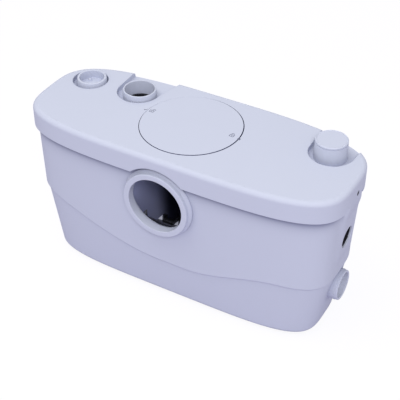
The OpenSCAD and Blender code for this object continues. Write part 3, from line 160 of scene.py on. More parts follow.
# Lid screws, cable gland, feet and marks
SCREW_Y, SCREW_Z = 2.5, 235.0
SCREW_SEAT, SCREW_SLOT = LID_HALF[0] - 1.7, (246.3, 249.0)
SCREW_R, SCREW_HOLE, SCREW_HEAD, SCREW_SINK, SCREW_BOSS = 1.9, 2.0, 3.75, 3.85, 5.0
SCREW_LONG, SCREW_TIP, SCREW_TIP_R = 12, 1.5, 1.2
SCREW_RIM, SCREW_CROWN, SCREW_CROWN_R = 0.9, 1.6, 2.6
SLOT_LONG, SLOT_NARROW = 2.2, 0.35
SCREW_BOSS_X, SCREW_TANK_X, SCREW_LID_X = (236.5, LID_HALF[0] - 3.6), (232, 246), (240, 252)
GLAND_X, GLAND_Z, GLAND_R, GLAND_HOLE, GLAND_FLANGE, CORD_R = 120.0, 198.0, 8.0, 8.1, 13.0, 4.0
GLAND_FLUTES, GLAND_FLUTE_AT, GLAND_FLUTE_R, GLAND_HOLE_Y = 12, 11.9, 1.5, (60, 100)
GLAND_TAIL, GLAND_FLANGE_T, GLAND_NOSE, GLAND_SQUARE = 12.6, 3, (10.8, 10.2, 7.2), 8
FEET_AT, FEET_R, FEET_HIGH = [(x, y) for x in (-150, 150) for y in (-43, 43)], 12, 3.0
MARK_SCALE = 1.45

# Painted shade of the finishes: deepest in crevices, reach, tints, where the skirt's shade stops, in metres
CREVICE_SHADE_MOST, CREVICE_SHADE_REACH = 0.6, 0.012
SHADE_TINT, NEUTRAL_SHADE_TINT = (1.0, 0.99, 0.84), (1.0, 1.0, 0.97)
RING_CLEAR = (-0.0892, -0.0880)
PAD_CLEAR_X, PAD_CLEAR_Y = (0.2408, 0.2430), ((-0.0366, -0.0352), (0.0242, 0.0226))

# Stage: floor, backdrop, lights with place, size and tint, and the camera
FLOOR_HALF = 6000
FLOOR_COLOUR, FLOOR_GLOW, FLOOR_GLOW_SHARE = (0.58, 0.55, 0.68, 1), 1.12, 0.8
FLOOR_ROUGHNESS, FLOOR_SPECULAR = 0.9, 0.1
SKY_COLOUR, BACKDROP = (0.962, 0.962, 1.0, 1), 1.1
LIGHTS = (("key", (-0.55, -0.55, 2.5), 1.6, (1.0, 1.0, 0.99)),
          ("fill", (1.72, -2.55, 3.01), 1.0, (0.97, 0.96, 1.0)))
LIGHT_AIM = (0, 0, 0.15)
LENS, SENSOR = 89.71, 36.0
CAMERA_AIM, CAMERA_AZIMUTH, CAMERA_ELEVATION, CAMERA_FAR = (7.524, 2.059, 131.5), 29.7, 37.82, 1.4708


class PumpShapes(bpy.types.PropertyGroup):
    """Sizes of the visible mouldings."""

    lid_edge: FloatProperty(
        name="Lid edge", description="Radius of the lid's top edge",
        default=0.007, min=0.002, max=0.010, unit="LENGTH")
    tank_edge: FloatProperty(
        name="Tank edge", description="Radius of the tank's bottom edge",
        default=0.008, min=0.002, max=0.012, unit="LENGTH")
    crease_step: FloatProperty(
        name="Crease step", description="Depth of the step at the tank's wave crease",
        default=0.0025, min=0.0, max=0.003, unit="LENGTH")
    crease_height: FloatProperty(
        name="Crease height", description="Height over which the crease turns",
        default=0.005, min=0.003, max=0.008, unit="LENGTH")
    pad_edge: FloatProperty(
        name="Pad edge", description="Width of the soft edge of the pad at the right end",
        default=0.018, min=0.002, max=0.025, unit="LENGTH")
    lip: FloatProperty(
        name="Lip", description="Radius of the lips on rings, sockets and spigots",
        default=0.0010, min=0.0003, max=0.0015, unit="LENGTH")
    edge_break: FloatProperty(
        name="Edge break", description="Rounding of the recesses' and the skirt's edges",
        default=0.0008, min=0.0003, max=0.0015, unit="LENGTH")
    groove_front: FloatProperty(
        name="Groove at the front", description="Width of the gap round the cover at the front",
        default=0.0017, min=0.0004, max=0.0020, unit="LENGTH")
    groove_back: FloatProperty(
        name="Groove at the back", description="Width of the gap round the cover at the back",
        default=0.0003, min=0.00005, max=0.0012, unit="LENGTH")
    mark_rise: FloatProperty(
        name="Mark rise", description="Height of the small moulded marks on the lid",
        default=0.00012, min=0.00005, max=0.0003, unit="LENGTH")


class PumpColours(bpy.types.PropertyGroup):
    """Colours of the finishes and strength of the lights."""

    shell: FloatVectorProperty(
        name="Shell", description="Colour of the moulded casing",
        subtype="COLOR", size=3, default=(0.600, 0.632, 0.745), min=0, max=1)
    mark: FloatVectorProperty(
        name="Marks", description="Colour of the small marks on the lid",
        subtype="COLOR", size=3, default=(0.16, 0.17, 0.24), min=0, max=1)
    inner_grey: FloatVectorProperty(
        name="Inner grey", description="Colour of the grey mouldings inside",
        subtype="COLOR", size=3, default=(0.43, 0.46, 0.70), min=0, max=1)
    inner_black: FloatVectorProperty(
        name="Inner black", description="Colour of the black mouldings inside",
        subtype="COLOR", size=3, default=(0.020, 0.021, 0.025), min=0, max=1)
    rubber: FloatVectorProperty(
        name="Rubber", description="Colour of the seals and feet",
        subtype="COLOR", size=3, default=(0.008, 0.008, 0.013), min=0, max=1)
    steel: FloatVectorProperty(
        name="Steel", description="Colour of the brushed steel",
        subtype="COLOR", size=3, default=(0.58, 0.59, 0.61), min=0, max=1)
    ground: FloatVectorProperty(
        name="Ground steel", description="Colour of the comb's ground steel",
        subtype="COLOR", size=3, default=(0.66, 0.67, 0.73), min=0, max=1)
    # Dark steel on the motor shaft, the cutter and the lid screws.
    worn: FloatVectorProperty(
        name="Dark steel", description="Colour of the dark steel on the shaft, the cutter and the lid screws",
        subtype="COLOR", size=3, default=(0.055, 0.055, 0.065), min=0, max=1)
    iron: FloatVectorProperty(
        name="Core iron", description="Colour of the laminated cores",
        subtype="COLOR", size=3, default=(0.16, 0.16, 0.18), min=0, max=1)
    copper: FloatVectorProperty(
        name="Copper", description="Colour of the windings",
        subtype="COLOR", size=3, default=(0.52, 0.20, 0.075), min=0, max=1)
    carbon: FloatVectorProperty(
        name="Carbon foam", description="Colour of the filter",
        subtype="COLOR", size=3, default=(0.022, 0.022, 0.022), min=0, max=1)
    ambient: FloatProperty(
        name="Ambient", description="Strength of the light from all round",
        default=0.60, min=0, max=3)
    key: FloatProperty(
        name="Key light", description="Power of the large light overhead",
        default=18.0, min=0, max=200, unit="POWER")
    fill: FloatProperty(
        name="Fill light", description="Power of the light at the front right",
        default=60.0, min=0, max=200, unit="POWER")


def shapes():
    return bpy.context.scene.pump_shapes


def colours():
    return bpy.context.scene.pump_colours


def mix(p, q, f):
    return p + (q - p) * f


def ease(f):
    """Smooth step from 0 to 1."""
    return (1 - math.cos(math.pi * min(1.0, max(0.0, f)))) / 2


def quarter(radius, steps, first=0):
    """Two legs of a quarter round: how far it has come in along each side, step by step."""
    for k in range(first, steps + 1):
        spin = math.radians(90 * k / steps)
        yield radius * (1 - math.cos(spin)), radius * (1 - math.sin(spin))


# Meshes


def mesh_object(name, verts, faces):
    mesh = bpy.data.meshes.new(name)
    mesh.from_pydata([tuple(v) for v in verts], [], faces)
    mesh.update()
    obj = bpy.data.objects.new(name, mesh)
    bpy.context.collection.objects.link(obj)
    return obj


def face_outwards(obj):
    work = bmesh.new()
    work.from_mesh(obj.data)
    bmesh.ops.recalc_face_normals(work, faces=work.faces)
    work.to_mesh(obj.data)
    work.free()
    return obj


def ring_solid(name, rings):
    """Closed solid through rings of equal length; the first and last ring are capped."""
    count = len(rings[0])
    verts = [p for ring in rings for p in ring]
    faces = []
    for k in range(len(rings) - 1):
        low, high = k * count, (k + 1) * count
        for i in range(count):
            j = (i + 1) % count
            faces.append((low + i, low + j, high + j, high + i))
    faces.append(tuple(reversed(range(count))))
    faces.append(tuple(range((len(rings) - 1) * count, len(rings) * count)))
    return face_outwards(mesh_object(name, verts, faces))


def filleted(corners, closed, bends=5):
    """Profile with rounded corners. Each corner is (radius, height) or (radius, height, fillet)."""
    points = []
    count = len(corners)
    for i, corner in enumerate(corners):
        here = Vector(corner[:2])
        fillet = corner[2] if len(corner) > 2 else 0
        if fillet <= 0 or (not closed and i in (0, count - 1)):
            points.append((here.x, here.y))
            continue
        before = (Vector(corners[i - 1][:2]) - here).normalized()
        after = (Vector(corners[(i + 1) % count][:2]) - here).normalized()
        half = before.angle(after) / 2
        reach = fillet / math.tan(half)
        centre = here + (before + after).normalized() * (fillet / math.sin(half))
        start = here + before * reach - centre
        turn = start.angle_signed(here + after * reach - centre)
        for k in range(bends + 1):
            spin = Matrix.Rotation(-turn * k / bends, 2)
            point = centre + spin @ start
            points.append((point.x, point.y))
    return points


def turned(name, corners, at, axis="Z", closed=True, steps=160):
    """Solid of revolution of a profile of (radius, height), round an axis through a point."""
    verts = []
    rows = []
    for radius, height in filleted(corners, closed):
        spins = [0.0]
        if radius < 1e-6:
            radius = 0.0
        else:
            spins = [2 * math.pi * i / steps for i in range(steps)]
        rows.append(range(len(verts), len(verts) + len(spins)))
        verts += [(radius * math.cos(spin), radius * math.sin(spin), height) for spin in spins]
    faces = []
    for low, high in zip(rows, [*rows[1:], rows[0]] if closed else rows[1:]):
        for i in range(steps):
            j = (i + 1) % steps
            if len(low) == 1 and len(high) == 1:
                continue
            if len(low) == 1:
                faces.append((low[0], high[j], high[i]))
            elif len(high) == 1:
                faces.append((low[i], low[j], high[0]))
            else:
                faces.append((low[i], low[j], high[j], high[i]))
    order = {"X": (2, 0, 1), "Y": (1, 2, 0), "Z": (0, 1, 2)}[axis]
    placed = [tuple(a + v[i] for a, i in zip(at, order)) for v in verts]
    return face_outwards(mesh_object(name, placed, faces))


def rod(name, radius, start, end, at, axis, steps=96):
    """Plain cylinder along an axis, for a cut."""
    return turned(name, [(0, start), (radius, start), (radius, end), (0, end)], at, axis,
                  closed=False, steps=steps)


def brick(name, low, high):
    """Block between two corners."""
    x0, y0, z0 = low
    x1, y1, z1 = high
    rings = [[(x0, y0, z), (x1, y0, z), (x1, y1, z), (x0, y1, z)] for z in (z0, z1)]
    return ring_solid(name, rings)


def combine(target, other, operation):
    """Applies one boolean to the target's mesh and removes the other object."""
    before = len(target.data.vertices)
    cut = target.modifiers.new("cut", "BOOLEAN")
    cut.operation = operation
    cut.solver = "MANIFOLD"
    cut.object = other
    graph = bpy.context.evaluated_depsgraph_get()
    mesh = bpy.data.meshes.new_from_object(target.evaluated_get(graph))
    target.modifiers.remove(cut)
    if len(mesh.vertices) < before // 4:
        raise RuntimeError("the %s of %s with %s failed" % (operation, target.name, other.name))
    old = target.data
    target.data = mesh
    mesh.name = target.name
    bpy.data.meshes.remove(old)
    bpy.data.meshes.remove(other.data)
    return target


def carve(target, *cutters):
    for cutter in cutters:
        combine(target, cutter, "DIFFERENCE")
    return target


def weld(target, *others):
    for other in others:
        combine(target, other, "UNION")
    return target


def both_ends(start, end):
    """The two stretches along X between two distances from the middle, left one first."""
    return [sorted((side * start, side * end)) for side in (-1, 1)]


def finish_piece(obj, body, material, slot, *nodes, sharp=32):
    """Scales a piece to metres, shades it, gives it its finish and sets it on its body."""
    obj.data.transform(Matrix.Scale(MM, 4))
    mesh = obj.data
    mesh.shade_smooth()
    mesh.set_sharp_from_angle(angle=math.radians(sharp))
    normals = obj.modifiers.new("even normals", "WEIGHTED_NORMAL")
    normals.keep_sharp = True
    mesh.materials.clear()
    mesh.materials.append(finish(material))
    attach(obj, body)
    if nodes:
        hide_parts(*nodes)
    return obj


# Plan outlines of the tank and the lid


def plan_columns(half, front, count, density):
    """Points of a plan outline on a unit frame, even along its length, closer where density is high."""
    steps = 14400
    points = []
    for i in range(steps + 1):
        angle = 2 * math.pi * i / steps
        fullness = front if math.sin(angle) < 0 else PLAN_BACK
        c, s = math.cos(angle) / half[0], math.sin(angle) / half[1]
        reach = (abs(c) ** fullness + abs(s) ** fullness) ** (-1 / fullness)
        points.append((reach * c, reach * s))
    walk = [0.0]
    for p, q in zip(points, points[1:]):
        step = math.hypot((q[0] - p[0]) * half[0], (q[1] - p[1]) * half[1])
        walk.append(walk[-1] + step * density(q[0] * half[0], q[1] * half[1]))
    columns = []
    for k in range(count):
        want = walk[-1] * k / count
        i = max(1, bisect.bisect_right(walk, want))
        part = (want - walk[i - 1]) / (walk[i] - walk[i - 1])
        columns.append(tuple(mix(p, q, part) for p, q in zip(points[i - 1], points[i])))
    return columns


def even(x, y):
    return 1.0


def near_pad(x, y):
    """Closer columns where the pad's edges rise out of the right end."""
    return 3.0 if x > PAD_DENSE_X and abs(y - PAD_MIDDLE) < PAD_SPAN else 1.0


def crease_z(x):
    """Height of the wave crease along the tank."""
    rises = [rise * ease((out - start) / run)
             for out, (rise, start, run) in ((x, CREASE_RIGHT), (-x, CREASE_LEFT))]
    return CREASE_LOW + rises[0] + rises[1]


def upper_half(half, z):
    return half - TAPER * (RIM_Z - z) / (RIM_Z - TAPER_Z)


def lower_half(half, foot, z, top, step):
    return mix(foot, upper_half(half, top) - step, (z - TANK_Z) / (top - TANK_Z))


def inner_half(half, foot, z, step):
    if z < CREASE_TOP:
        return lower_half(half, foot, z, CREASE_TOP, step) - TANK_WALL
    knee = lower_half(half, foot, CREASE_TOP, CREASE_TOP, step)
    return mix(knee, half, (z - CREASE_TOP) / (RIM_Z - CREASE_TOP)) - TANK_WALL


def pad_face(z):
    """Place of the pad's flat face at a height; its top leans out until it is flush with the skirt."""
    flat = mix(PAD_X0, PAD_X1, (z - PAD_Z0) / (PAD_Z1 - PAD_Z0))
    return mix(flat, PAD_FLUSH_X, ease((z - PAD_FLARE_Z) / (PAD_FLUSH_Z - PAD_FLARE_Z)))


def pad_lift(x, y, z, soft):
    """How far the pad's face stands out of the end wall at a place."""
    if x < PAD_LEAST_X:
        return 0.0
    sides = ease((y - PAD_LOW.y) / soft) * ease((PAD_HIGH.y - y) / PAD_BACK_EDGE)
    ends = ease((z - PAD_Z0) / PAD_FOOT_EDGE) * ease((PAD_Z1 - z) / PAD_TOP_EDGE + 1)
    return max(0.0, pad_face(z) - x) * sides * ends


def tank_outside(column, edge, step, turn, soft):
    """Points up the tank's outside at one column, from the bottom edge to the rim."""
    crease = crease_z(TANK_HALF[0] * column[0])
    start, end = crease - turn / 2, crease + turn / 2
    bends, rows, turns, levels = 8, 8, 10, 44

    def lower(z, inset):
        return [(lower_half(half, foot, z, start, step) - inset) * p
                for half, foot, p in zip(TANK_HALF, FOOT_HALF, column)]

    def upper(z):
        return [upper_half(half, z) * p for half, p in zip(TANK_HALF, column)]

    points = []
    for rise, inset in quarter(edge, bends):
        points.append((*lower(TANK_Z + rise, inset), TANK_Z + rise))
    for k in range(1, rows + 1):
        z = mix(TANK_Z + edge, start, k / rows)
        points.append((*lower(z, 0), z))
    for k in range(1, turns + 1):
        z = mix(start, end, k / turns)
        points.append((*[mix(p, q, ease(k / turns)) for p, q in zip(lower(z, 0), upper(z))], z))
    for k in range(1, levels + 1):
        z = mix(end, RIM_Z, k / levels)
        x, y = upper(z)
        points.append((x + pad_lift(x, y, z, soft), y, z))
    return points


def tank_inside(column, step):
    """Points down the tank's inside at one column, from the rim to the floor."""
    return [(*[inner_half(half, foot, z, step) * p for half, foot, p in zip(TANK_HALF, FOOT_HALF, column)], z)
            for z in (RIM_Z, CREASE_TOP, FLOOR_Z)]


def lid_ring(columns, inset, z):
    return [((LID_HALF[0] - inset) * px, (LID_HALF[1] - inset) * py, z) for px, py in columns]


def flap_ears(seat, z, bore_r):
    """Two ears that hold a flap's pin above a side tube."""
    pin_x, pin_z = seat - EAR_PIN_X, z + bore_r + EAR_PIN_Z
    back = seat + EAR_REACH
    ears = []
    for middle in (SIDE_Y - EAR_Y, SIDE_Y + EAR_Y):
        y0, y1 = middle - EAR_HALF, middle + EAR_HALF
        ears.append(brick("ear", (pin_x - EAR_R, y0, pin_z - EAR_R), (back, y1, pin_z + EAR_R)))
        ears.append(brick("ear_foot", (seat, y0, z + bore_r - 1), (back, y1, pin_z)))
    return ears


def recess_outline(at, radius, left, right, grow, z):
    """Outline of a recess round a socket, which opens wider towards the lid's back."""
    x, y = at
    reach = radius + grow
    bends, rows = 64, 24
    spins = [math.pi * (1 + k / bends) for k in range(bends + 1)]
    points = [(x + reach * math.cos(spin), y + reach * math.sin(spin), z) for spin in spins]
    for k in range(1, rows + 1):
        points.append((x + reach + right * k / rows, mix(y, RECESS_BACK, k / rows), z))
    for k in range(rows, 0, -1):
        points.append((x - reach - left * k / rows, mix(y, RECESS_BACK, k / rows), z))
    return points


def recess_profile(edge):
    """Growth and height up a recess's wall, with a round foot and a broken top edge."""
    points = filleted([(-3, RECESS_Z), (0, RECESS_Z, 1.0), (0, LID_TOP - edge)], closed=False)
    points += [(grow, LID_TOP - drop) for grow, drop in quarter(edge, 4, first=1)]
    return points + [(2 * edge, LID_TOP + 0.4 * edge), (2 * edge, LID_TOP + 3)]


def recess_cutter(at, radius, left, right, edge):
    return ring_solid("recess", [recess_outline(at, radius, left, right, grow, z)
                                 for grow, z in recess_profile(edge)])


def sector(name, r0, r1, middle, width, z0, z1, at):
    """Part of a ring, an angle wide, in degrees."""
    steps = 12
    outline = []
    for radius, order in ((r1, range(steps + 1)), (r0, range(steps, -1, -1))):
        for k in order:
            spin = math.radians(middle + width * (k / steps - 0.5))
            outline.append((at[0] + radius * math.cos(spin), at[1] + radius * math.sin(spin)))
    return ring_solid(name, [[(x, y, z) for x, y in outline] for z in (z0, z1)])


# Shader groups


def new_group(name, inputs, outputs):
    """Empty shader group with named sockets, and its two end nodes."""
    group = bpy.data.node_groups.new(name, "ShaderNodeTree")
    for kind, label, default in inputs:
        socket = group.interface.new_socket(name=label, in_out="INPUT", socket_type="NodeSocket" + kind)
        socket.default_value = default
    for kind, label in outputs:
        group.interface.new_socket(name=label, in_out="OUTPUT", socket_type="NodeSocket" + kind)
    return group, group.nodes.new("NodeGroupInput"), group.nodes.new("NodeGroupOutput")


def add(tree, kind, **values):
    node = tree.nodes.new(kind)
    for key, value in values.items():
        setattr(node, key, value)
    return node


def plug(tree, value, socket):
    """Links a socket to another one, or sets it to a plain value."""
    if isinstance(value, bpy.types.NodeSocket):
        tree.links.new(value, socket)
    else:
        socket.default_value = value


def math_node(tree, operation, first, second=0.0):
    node = add(tree, "ShaderNodeMath", operation=operation)
    plug(tree, first, node.inputs[0])
    plug(tree, second, node.inputs[1])
    return node.outputs[0]


def vector_node(tree, operation, *values):
    node = add(tree, "ShaderNodeVectorMath", operation=operation)
    for socket, value in zip(node.inputs, values):
        plug(tree, value, socket)
    return node.outputs


def scaled(tree, vector, scale):
    node = add(tree, "ShaderNodeVectorMath", operation="SCALE")
    plug(tree, vector, node.inputs[0])
    plug(tree, scale, node.inputs["Scale"])
    return node.outputs[0]


def place(tree):
    """Object coordinates in metres."""
    return add(tree, "ShaderNodeTexCoord").outputs["Object"]


def place_parts(tree):
    """Object coordinates in metres, one socket each."""
    parts = add(tree, "ShaderNodeSeparateXYZ")
    tree.links.new(place(tree), parts.inputs[0])
    return parts.outputs


def noise(tree, vector, detail=3.0, rough=0.5):
    node = add(tree, "ShaderNodeTexNoise")
    tree.links.new(vector, node.inputs["Vector"])
    node.inputs["Scale"].default_value = 1.0
    node.inputs["Detail"].default_value = detail
    node.inputs["Roughness"].default_value = rough
    return node.outputs["Fac"]


def shift_colour(tree, colour, amount, factor):
    """Lightens and darkens a colour by a signed mask times an amount."""
    signed = math_node(tree, "SUBTRACT", factor, 0.5)
    gain = math_node(tree, "ADD", math_node(tree, "MULTIPLY", signed, amount), 1.0)
    return scaled(tree, colour, gain)


def smooth_mask(tree, value, zero, one):
    """Mask that turns smoothly from 0 to 1 between two values."""
    node = add(tree, "ShaderNodeMapRange", interpolation_type="SMOOTHSTEP")
    tree.links.new(value, node.inputs["Value"])
    plug(tree, zero, node.inputs["From Min"])
    plug(tree, one, node.inputs["From Max"])
    return node.outputs["Result"]


def product(tree, *masks):
    """All masks multiplied."""
    whole = masks[0]
    for mask in masks[1:]:
        whole = math_node(tree, "MULTIPLY", whole, mask)
    return whole


def surface_group(name, inputs):
    """Empty group for a surface, with its colour, roughness and height."""
    return new_group(name, [("Color", "Colour", (0.8, 0.8, 0.8, 1))] + inputs,
                     [("Color", "Colour"), ("Float", "Roughness"), ("Float", "Height")])


def put_out(group, start, end, colour, uneven, height):
    """Colour and height of a surface, and its roughness, changed by a mask round one half."""
    signed = math_node(group, "SUBTRACT", uneven, 0.5)
    change = math_node(group, "MULTIPLY", signed, start.outputs["Rough change"])
    rough = math_node(group, "ADD", start.outputs["Roughness"], change)
    for socket, name in ((colour, "Colour"), (rough, "Roughness"), (height, "Height")):
        group.links.new(socket, end.inputs[name])
    return group


def moulded_group():
    """Moulded plastic: faint flow mottle, painted crevice shade, fine spark grain in height and roughness."""
    group, start, end = surface_group(
        "moulded surface",
        [("Float", "Mottle", 0.03), ("Float", "Mottle size", 14.0), ("Float", "Grain size", 1400.0),
         ("Float", "Roughness", 0.4), ("Float", "Rough change", 0.06), ("Float", "Crevice", 0.0),
         ("Float", "Crevice reach", CREVICE_SHADE_REACH), ("Float", "Shade", 0.0),
         ("Vector", "Shade tint", SHADE_TINT)])
    flow = noise(group, scaled(group, place(group), start.outputs["Mottle size"]), detail=4.0, rough=0.55)
    grain = noise(group, scaled(group, place(group), start.outputs["Grain size"]), detail=2.0, rough=0.6)
    colour = shift_colour(group, start.outputs["Colour"], start.outputs["Mottle"], flow)
    # Painted shade: darker where ambient occlusion finds walls near, capped, or the shade mask if deeper.
    nearby = add(group, "ShaderNodeAmbientOcclusion", samples=12)
    group.links.new(start.outputs["Crevice reach"], nearby.inputs["Distance"])
    hidden = math_node(group, "SUBTRACT", 1.0, nearby.outputs["AO"])
    dark = math_node(group, "MULTIPLY", hidden, start.outputs["Crevice"])
    dark = math_node(group, "MINIMUM", dark, CREVICE_SHADE_MOST)
    dark = math_node(group, "MAXIMUM", dark, start.outputs["Shade"])
    lost = scaled(group, start.outputs["Shade tint"], dark)
    kept = vector_node(group, "SUBTRACT", (1.0, 1.0, 1.0), lost)[0]
    shaded = vector_node(group, "MULTIPLY", colour, kept)[0]
    uneven = math_node(group, "SUBTRACT", math_node(group, "ADD", grain, flow), 0.5)
    return put_out(group, start, end, shaded, uneven, grain)


def brushed_group():
    """Brushed or drawn metal: fine lines along one direction and faint patches."""
    group, start, end = surface_group(
        "drawn metal",
        [("Vector", "Stretch", (40.0, 1500.0, 1500.0)), ("Float", "Line depth", 0.25),
         ("Float", "Roughness", 0.3), ("Float", "Rough change", 0.2)])
    drawn = vector_node(group, "MULTIPLY", place(group), start.outputs["Stretch"])[0]
    lines = noise(group, drawn, detail=2.0, rough=0.6)
    patches = noise(group, scaled(group, place(group), 60.0))
    both = math_node(group, "ADD", math_node(group, "MULTIPLY", lines, 0.7),
                     math_node(group, "MULTIPLY", patches, 0.3))
    colour = shift_colour(group, start.outputs["Colour"], start.outputs["Line depth"], both)
    return put_out(group, start, end, colour, both, lines)


def banded_group():
    """Close parallel bands, as of stacked sheets or wound wire, along X."""
    group, start, end = surface_group(
        "close bands",
        [("Float", "Bands per metre", 2000.0), ("Float", "Band depth", 0.5), ("Float", "Roughness", 0.45),
         ("Float", "Rough change", 0.2)])
    turns = math_node(group, "MULTIPLY", place_parts(group)["X"], start.outputs["Bands per metre"])
    sine = math_node(group, "SINE", math_node(group, "MULTIPLY", turns, math.pi))
    wave = math_node(group, "ABSOLUTE", sine)
    patches = noise(group, scaled(group, place(group), 220.0))
    both = math_node(group, "ADD", math_node(group, "MULTIPLY", wave, 0.7),
                     math_node(group, "MULTIPLY", patches, 0.3))
    colour = shift_colour(group, start.outputs["Colour"], start.outputs["Band depth"], both)
    return put_out(group, start, end, colour, patches, wave)


def overhang_group():
    """Mask of the shade on the wall under the lid's skirt; it fades downwards, off the ring and the pad."""
    group, start, end = new_group(
        "overhang shade",
        [("Float", "Skirt height", SKIRT_Z * MM), ("Float", "Clear", 0.0063), ("Float", "Fade", 0.0062),
         ("Float", "Depth", 0.5)],
        [("Float", "Mask")])
    parts = place_parts(group)
    below = math_node(group, "SUBTRACT", start.outputs["Skirt height"], parts["Z"])
    past = math_node(group, "MAXIMUM", math_node(group, "SUBTRACT", below, start.outputs["Clear"]), 0.0)
    faded = math_node(group, "EXPONENT", math_node(group, "DIVIDE", past, start.outputs["Fade"]))
    mask = math_node(group, "DIVIDE", start.outputs["Depth"], faded)
    off_ring = smooth_mask(group, parts["Y"], *RING_CLEAR)
    on_pad = product(group, smooth_mask(group, parts["X"], *PAD_CLEAR_X),
                     *[smooth_mask(group, parts["Y"], *limits) for limits in PAD_CLEAR_Y])
    off_pad = math_node(group, "SUBTRACT", 1.0, on_pad)
    group.links.new(product(group, mask, off_ring, off_pad), end.inputs["Mask"])
    return group


def groove_group():
    """Mask of the shade on the walls of the groove round the inspection cover."""
    group, start, end = new_group("groove shade", [("Float", "Depth", 0.9)], [("Float", "Mask")])
    from_centre = vector_node(group, "MULTIPLY_ADD", place(group), (1.0, 1.0, 0.0),
                              (-COVER_AT[0] * MM, -COVER_AT[1] * MM, 0.0))[0]
    reach = vector_node(group, "LENGTH", from_centre)["Value"]
    inside, outside = GROOVE_BAND
    near = smooth_mask(group, reach, (inside - GROOVE_SOFT) * MM, inside * MM)
    far = smooth_mask(group, reach, (outside + GROOVE_SOFT) * MM, outside * MM)
    below = smooth_mask(group, place_parts(group)["Z"], *[(LID_TOP - drop) * MM for drop in GROOVE_DROP])
    group.links.new(product(group, near, far, below, start.outputs["Depth"]), end.inputs["Mask"])
    return group


def place_group():
    """Mask that turns smoothly from 0 to its depth along one direction."""
    group, start, end = new_group(
        "place shade",
        [("Vector", "Direction", (0.0, 1.0, 0.0)), ("Float", "From", 0.0), ("Float", "To", 1.0),
         ("Float", "Depth", 1.0)],
        [("Float", "Mask")])
    along = vector_node(group, "DOT_PRODUCT", place(group), start.outputs["Direction"])["Value"]
    mask = smooth_mask(group, along, start.outputs["From"], start.outputs["To"])
    group.links.new(product(group, mask, start.outputs["Depth"]), end.inputs["Mask"])
    return group


GROUP_MAKERS = {"moulded surface": moulded_group, "drawn metal": brushed_group, "close bands": banded_group,
                "overhang shade": overhang_group, "groove shade": groove_group, "place shade": place_group}


def shared_group(name):
    return bpy.data.node_groups.get(name) or GROUP_MAKERS[name]()


# Finishes


class Recipe(NamedTuple):
    """Surface group with its colour and values in order, bump, shader values, more values and shades."""

    group: str
    colour: str
    values: tuple
    bump: float
    distance: float
    metallic: float = 0.0
    specular: float = 0.5
    sheen: float = 0.0
    more: dict = {}
    shades: tuple = ()


def shade_along(direction, start, end, depth):
    """Shade that deepens along a direction, between two places in metres."""
    return ("place shade", {"Direction": direction, "From": start, "To": end, "Depth": depth})


PLASTIC, METAL, BANDS = "moulded surface", "drawn metal", "close bands"
DRAWN = (60.0, 1800.0, 1800.0)
# Painted shade: crevices on all shells, under the skirt on the tank, in the cover's groove on the lid.
SHELL = Recipe(PLASTIC, "shell", (0.02, 16.0, 1500.0, 0.52, 0.10), 0.10, 0.00004, specular=0.2,
               more={"Crevice": 0.15})
GREY = Recipe(PLASTIC, "inner_grey", (0.12, 40.0, 900.0, 0.42, 0.15), 0.15, 0.00006)
RECIPES = {
    "shell plastic": SHELL,
    "tank plastic": SHELL._replace(more={"Crevice": 0.45}, shades=(("overhang shade", {}),)),
    "lid plastic": SHELL._replace(more={"Crevice": 0.35}, shades=(("groove shade", {}),)),
    "mark plastic": Recipe(PLASTIC, "mark", (0.05, 300.0, 1500.0, 0.55, 0.10), 0.10, 0.00003, specular=0.3),
    "inner grey plastic": GREY,
    # The chute and the basket get painted shade that deepens towards the back.
    "chamber plastic": GREY._replace(
        more={"Shade tint": NEUTRAL_SHADE_TINT}, shades=(shade_along((0.0, 1.0, 0.0), -0.020, 0.026, 0.93),)),
    "inner black plastic": Recipe(PLASTIC, "inner_black", (0.25, 50.0, 900.0, 0.40, 0.15), 0.18, 0.00006),
    "seal rubber": Recipe(PLASTIC, "rubber", (0.30, 90.0, 700.0, 0.78, 0.12), 0.25, 0.00008, specular=0.3,
                          sheen=0.05),
    "carbon foam": Recipe(PLASTIC, "carbon", (0.9, 700.0, 420.0, 0.92, 0.10), 0.9, 0.0008, specular=0.2),
    "brushed steel": Recipe(METAL, "steel", (DRAWN, 0.25, 0.32, 0.25), 0.08, 0.00003, metallic=1.0),
    "darkened steel": Recipe(METAL, "worn", (DRAWN, 0.4, 0.45, 0.25), 0.10, 0.00003, metallic=0.8),
    # The comb gets painted shade on its strip and towards the left; its teeth stay bright.
    "ground steel": Recipe(
        PLASTIC, "ground", (0.1, 200.0, 1800.0, 0.5, 0.2), 0.08, 0.00003, metallic=0.3,
        more={"Shade tint": NEUTRAL_SHADE_TINT},
        shades=(shade_along((0.0, 0.0, -1.0), -0.1425, -0.1405, 0.9),
                shade_along((-1.0, 0.0, 0.0), 0.020, 0.026, 0.7))),
    "core iron": Recipe(BANDS, "iron", (2000.0, 0.6, 0.5, 0.25), 0.4, 0.0002, metallic=0.7),
    "copper windings": Recipe(BANDS, "copper", (1000.0, 0.7, 0.34, 0.2), 0.6, 0.0004, metallic=0.85),
}
SLOT_FINISHES = {"shell": "shell plastic", "seal_rubber": "seal rubber", "steel": "brushed steel",
                 "core_iron": "core iron", "copper": "copper windings", "inner_grey": "inner grey plastic",
                 "inner_black": "inner black plastic", "filter_carbon": "carbon foam"}
NODE_FINISHES = {"fixed_knives": "ground steel", "grinder_basket": "chamber plastic",
                 "inlet_hopper": "chamber plastic", "motor_shaft": "darkened steel",
                 "cutter_hub": "darkened steel", "cutter_blades": "darkened steel"}


def add_group(tree, name, values):
    """Shared group in a material, with its values set."""
    node = add(tree, "ShaderNodeGroup", node_tree=shared_group(name))
    for key, value in values.items():
        node.inputs[key].default_value = value
    return node


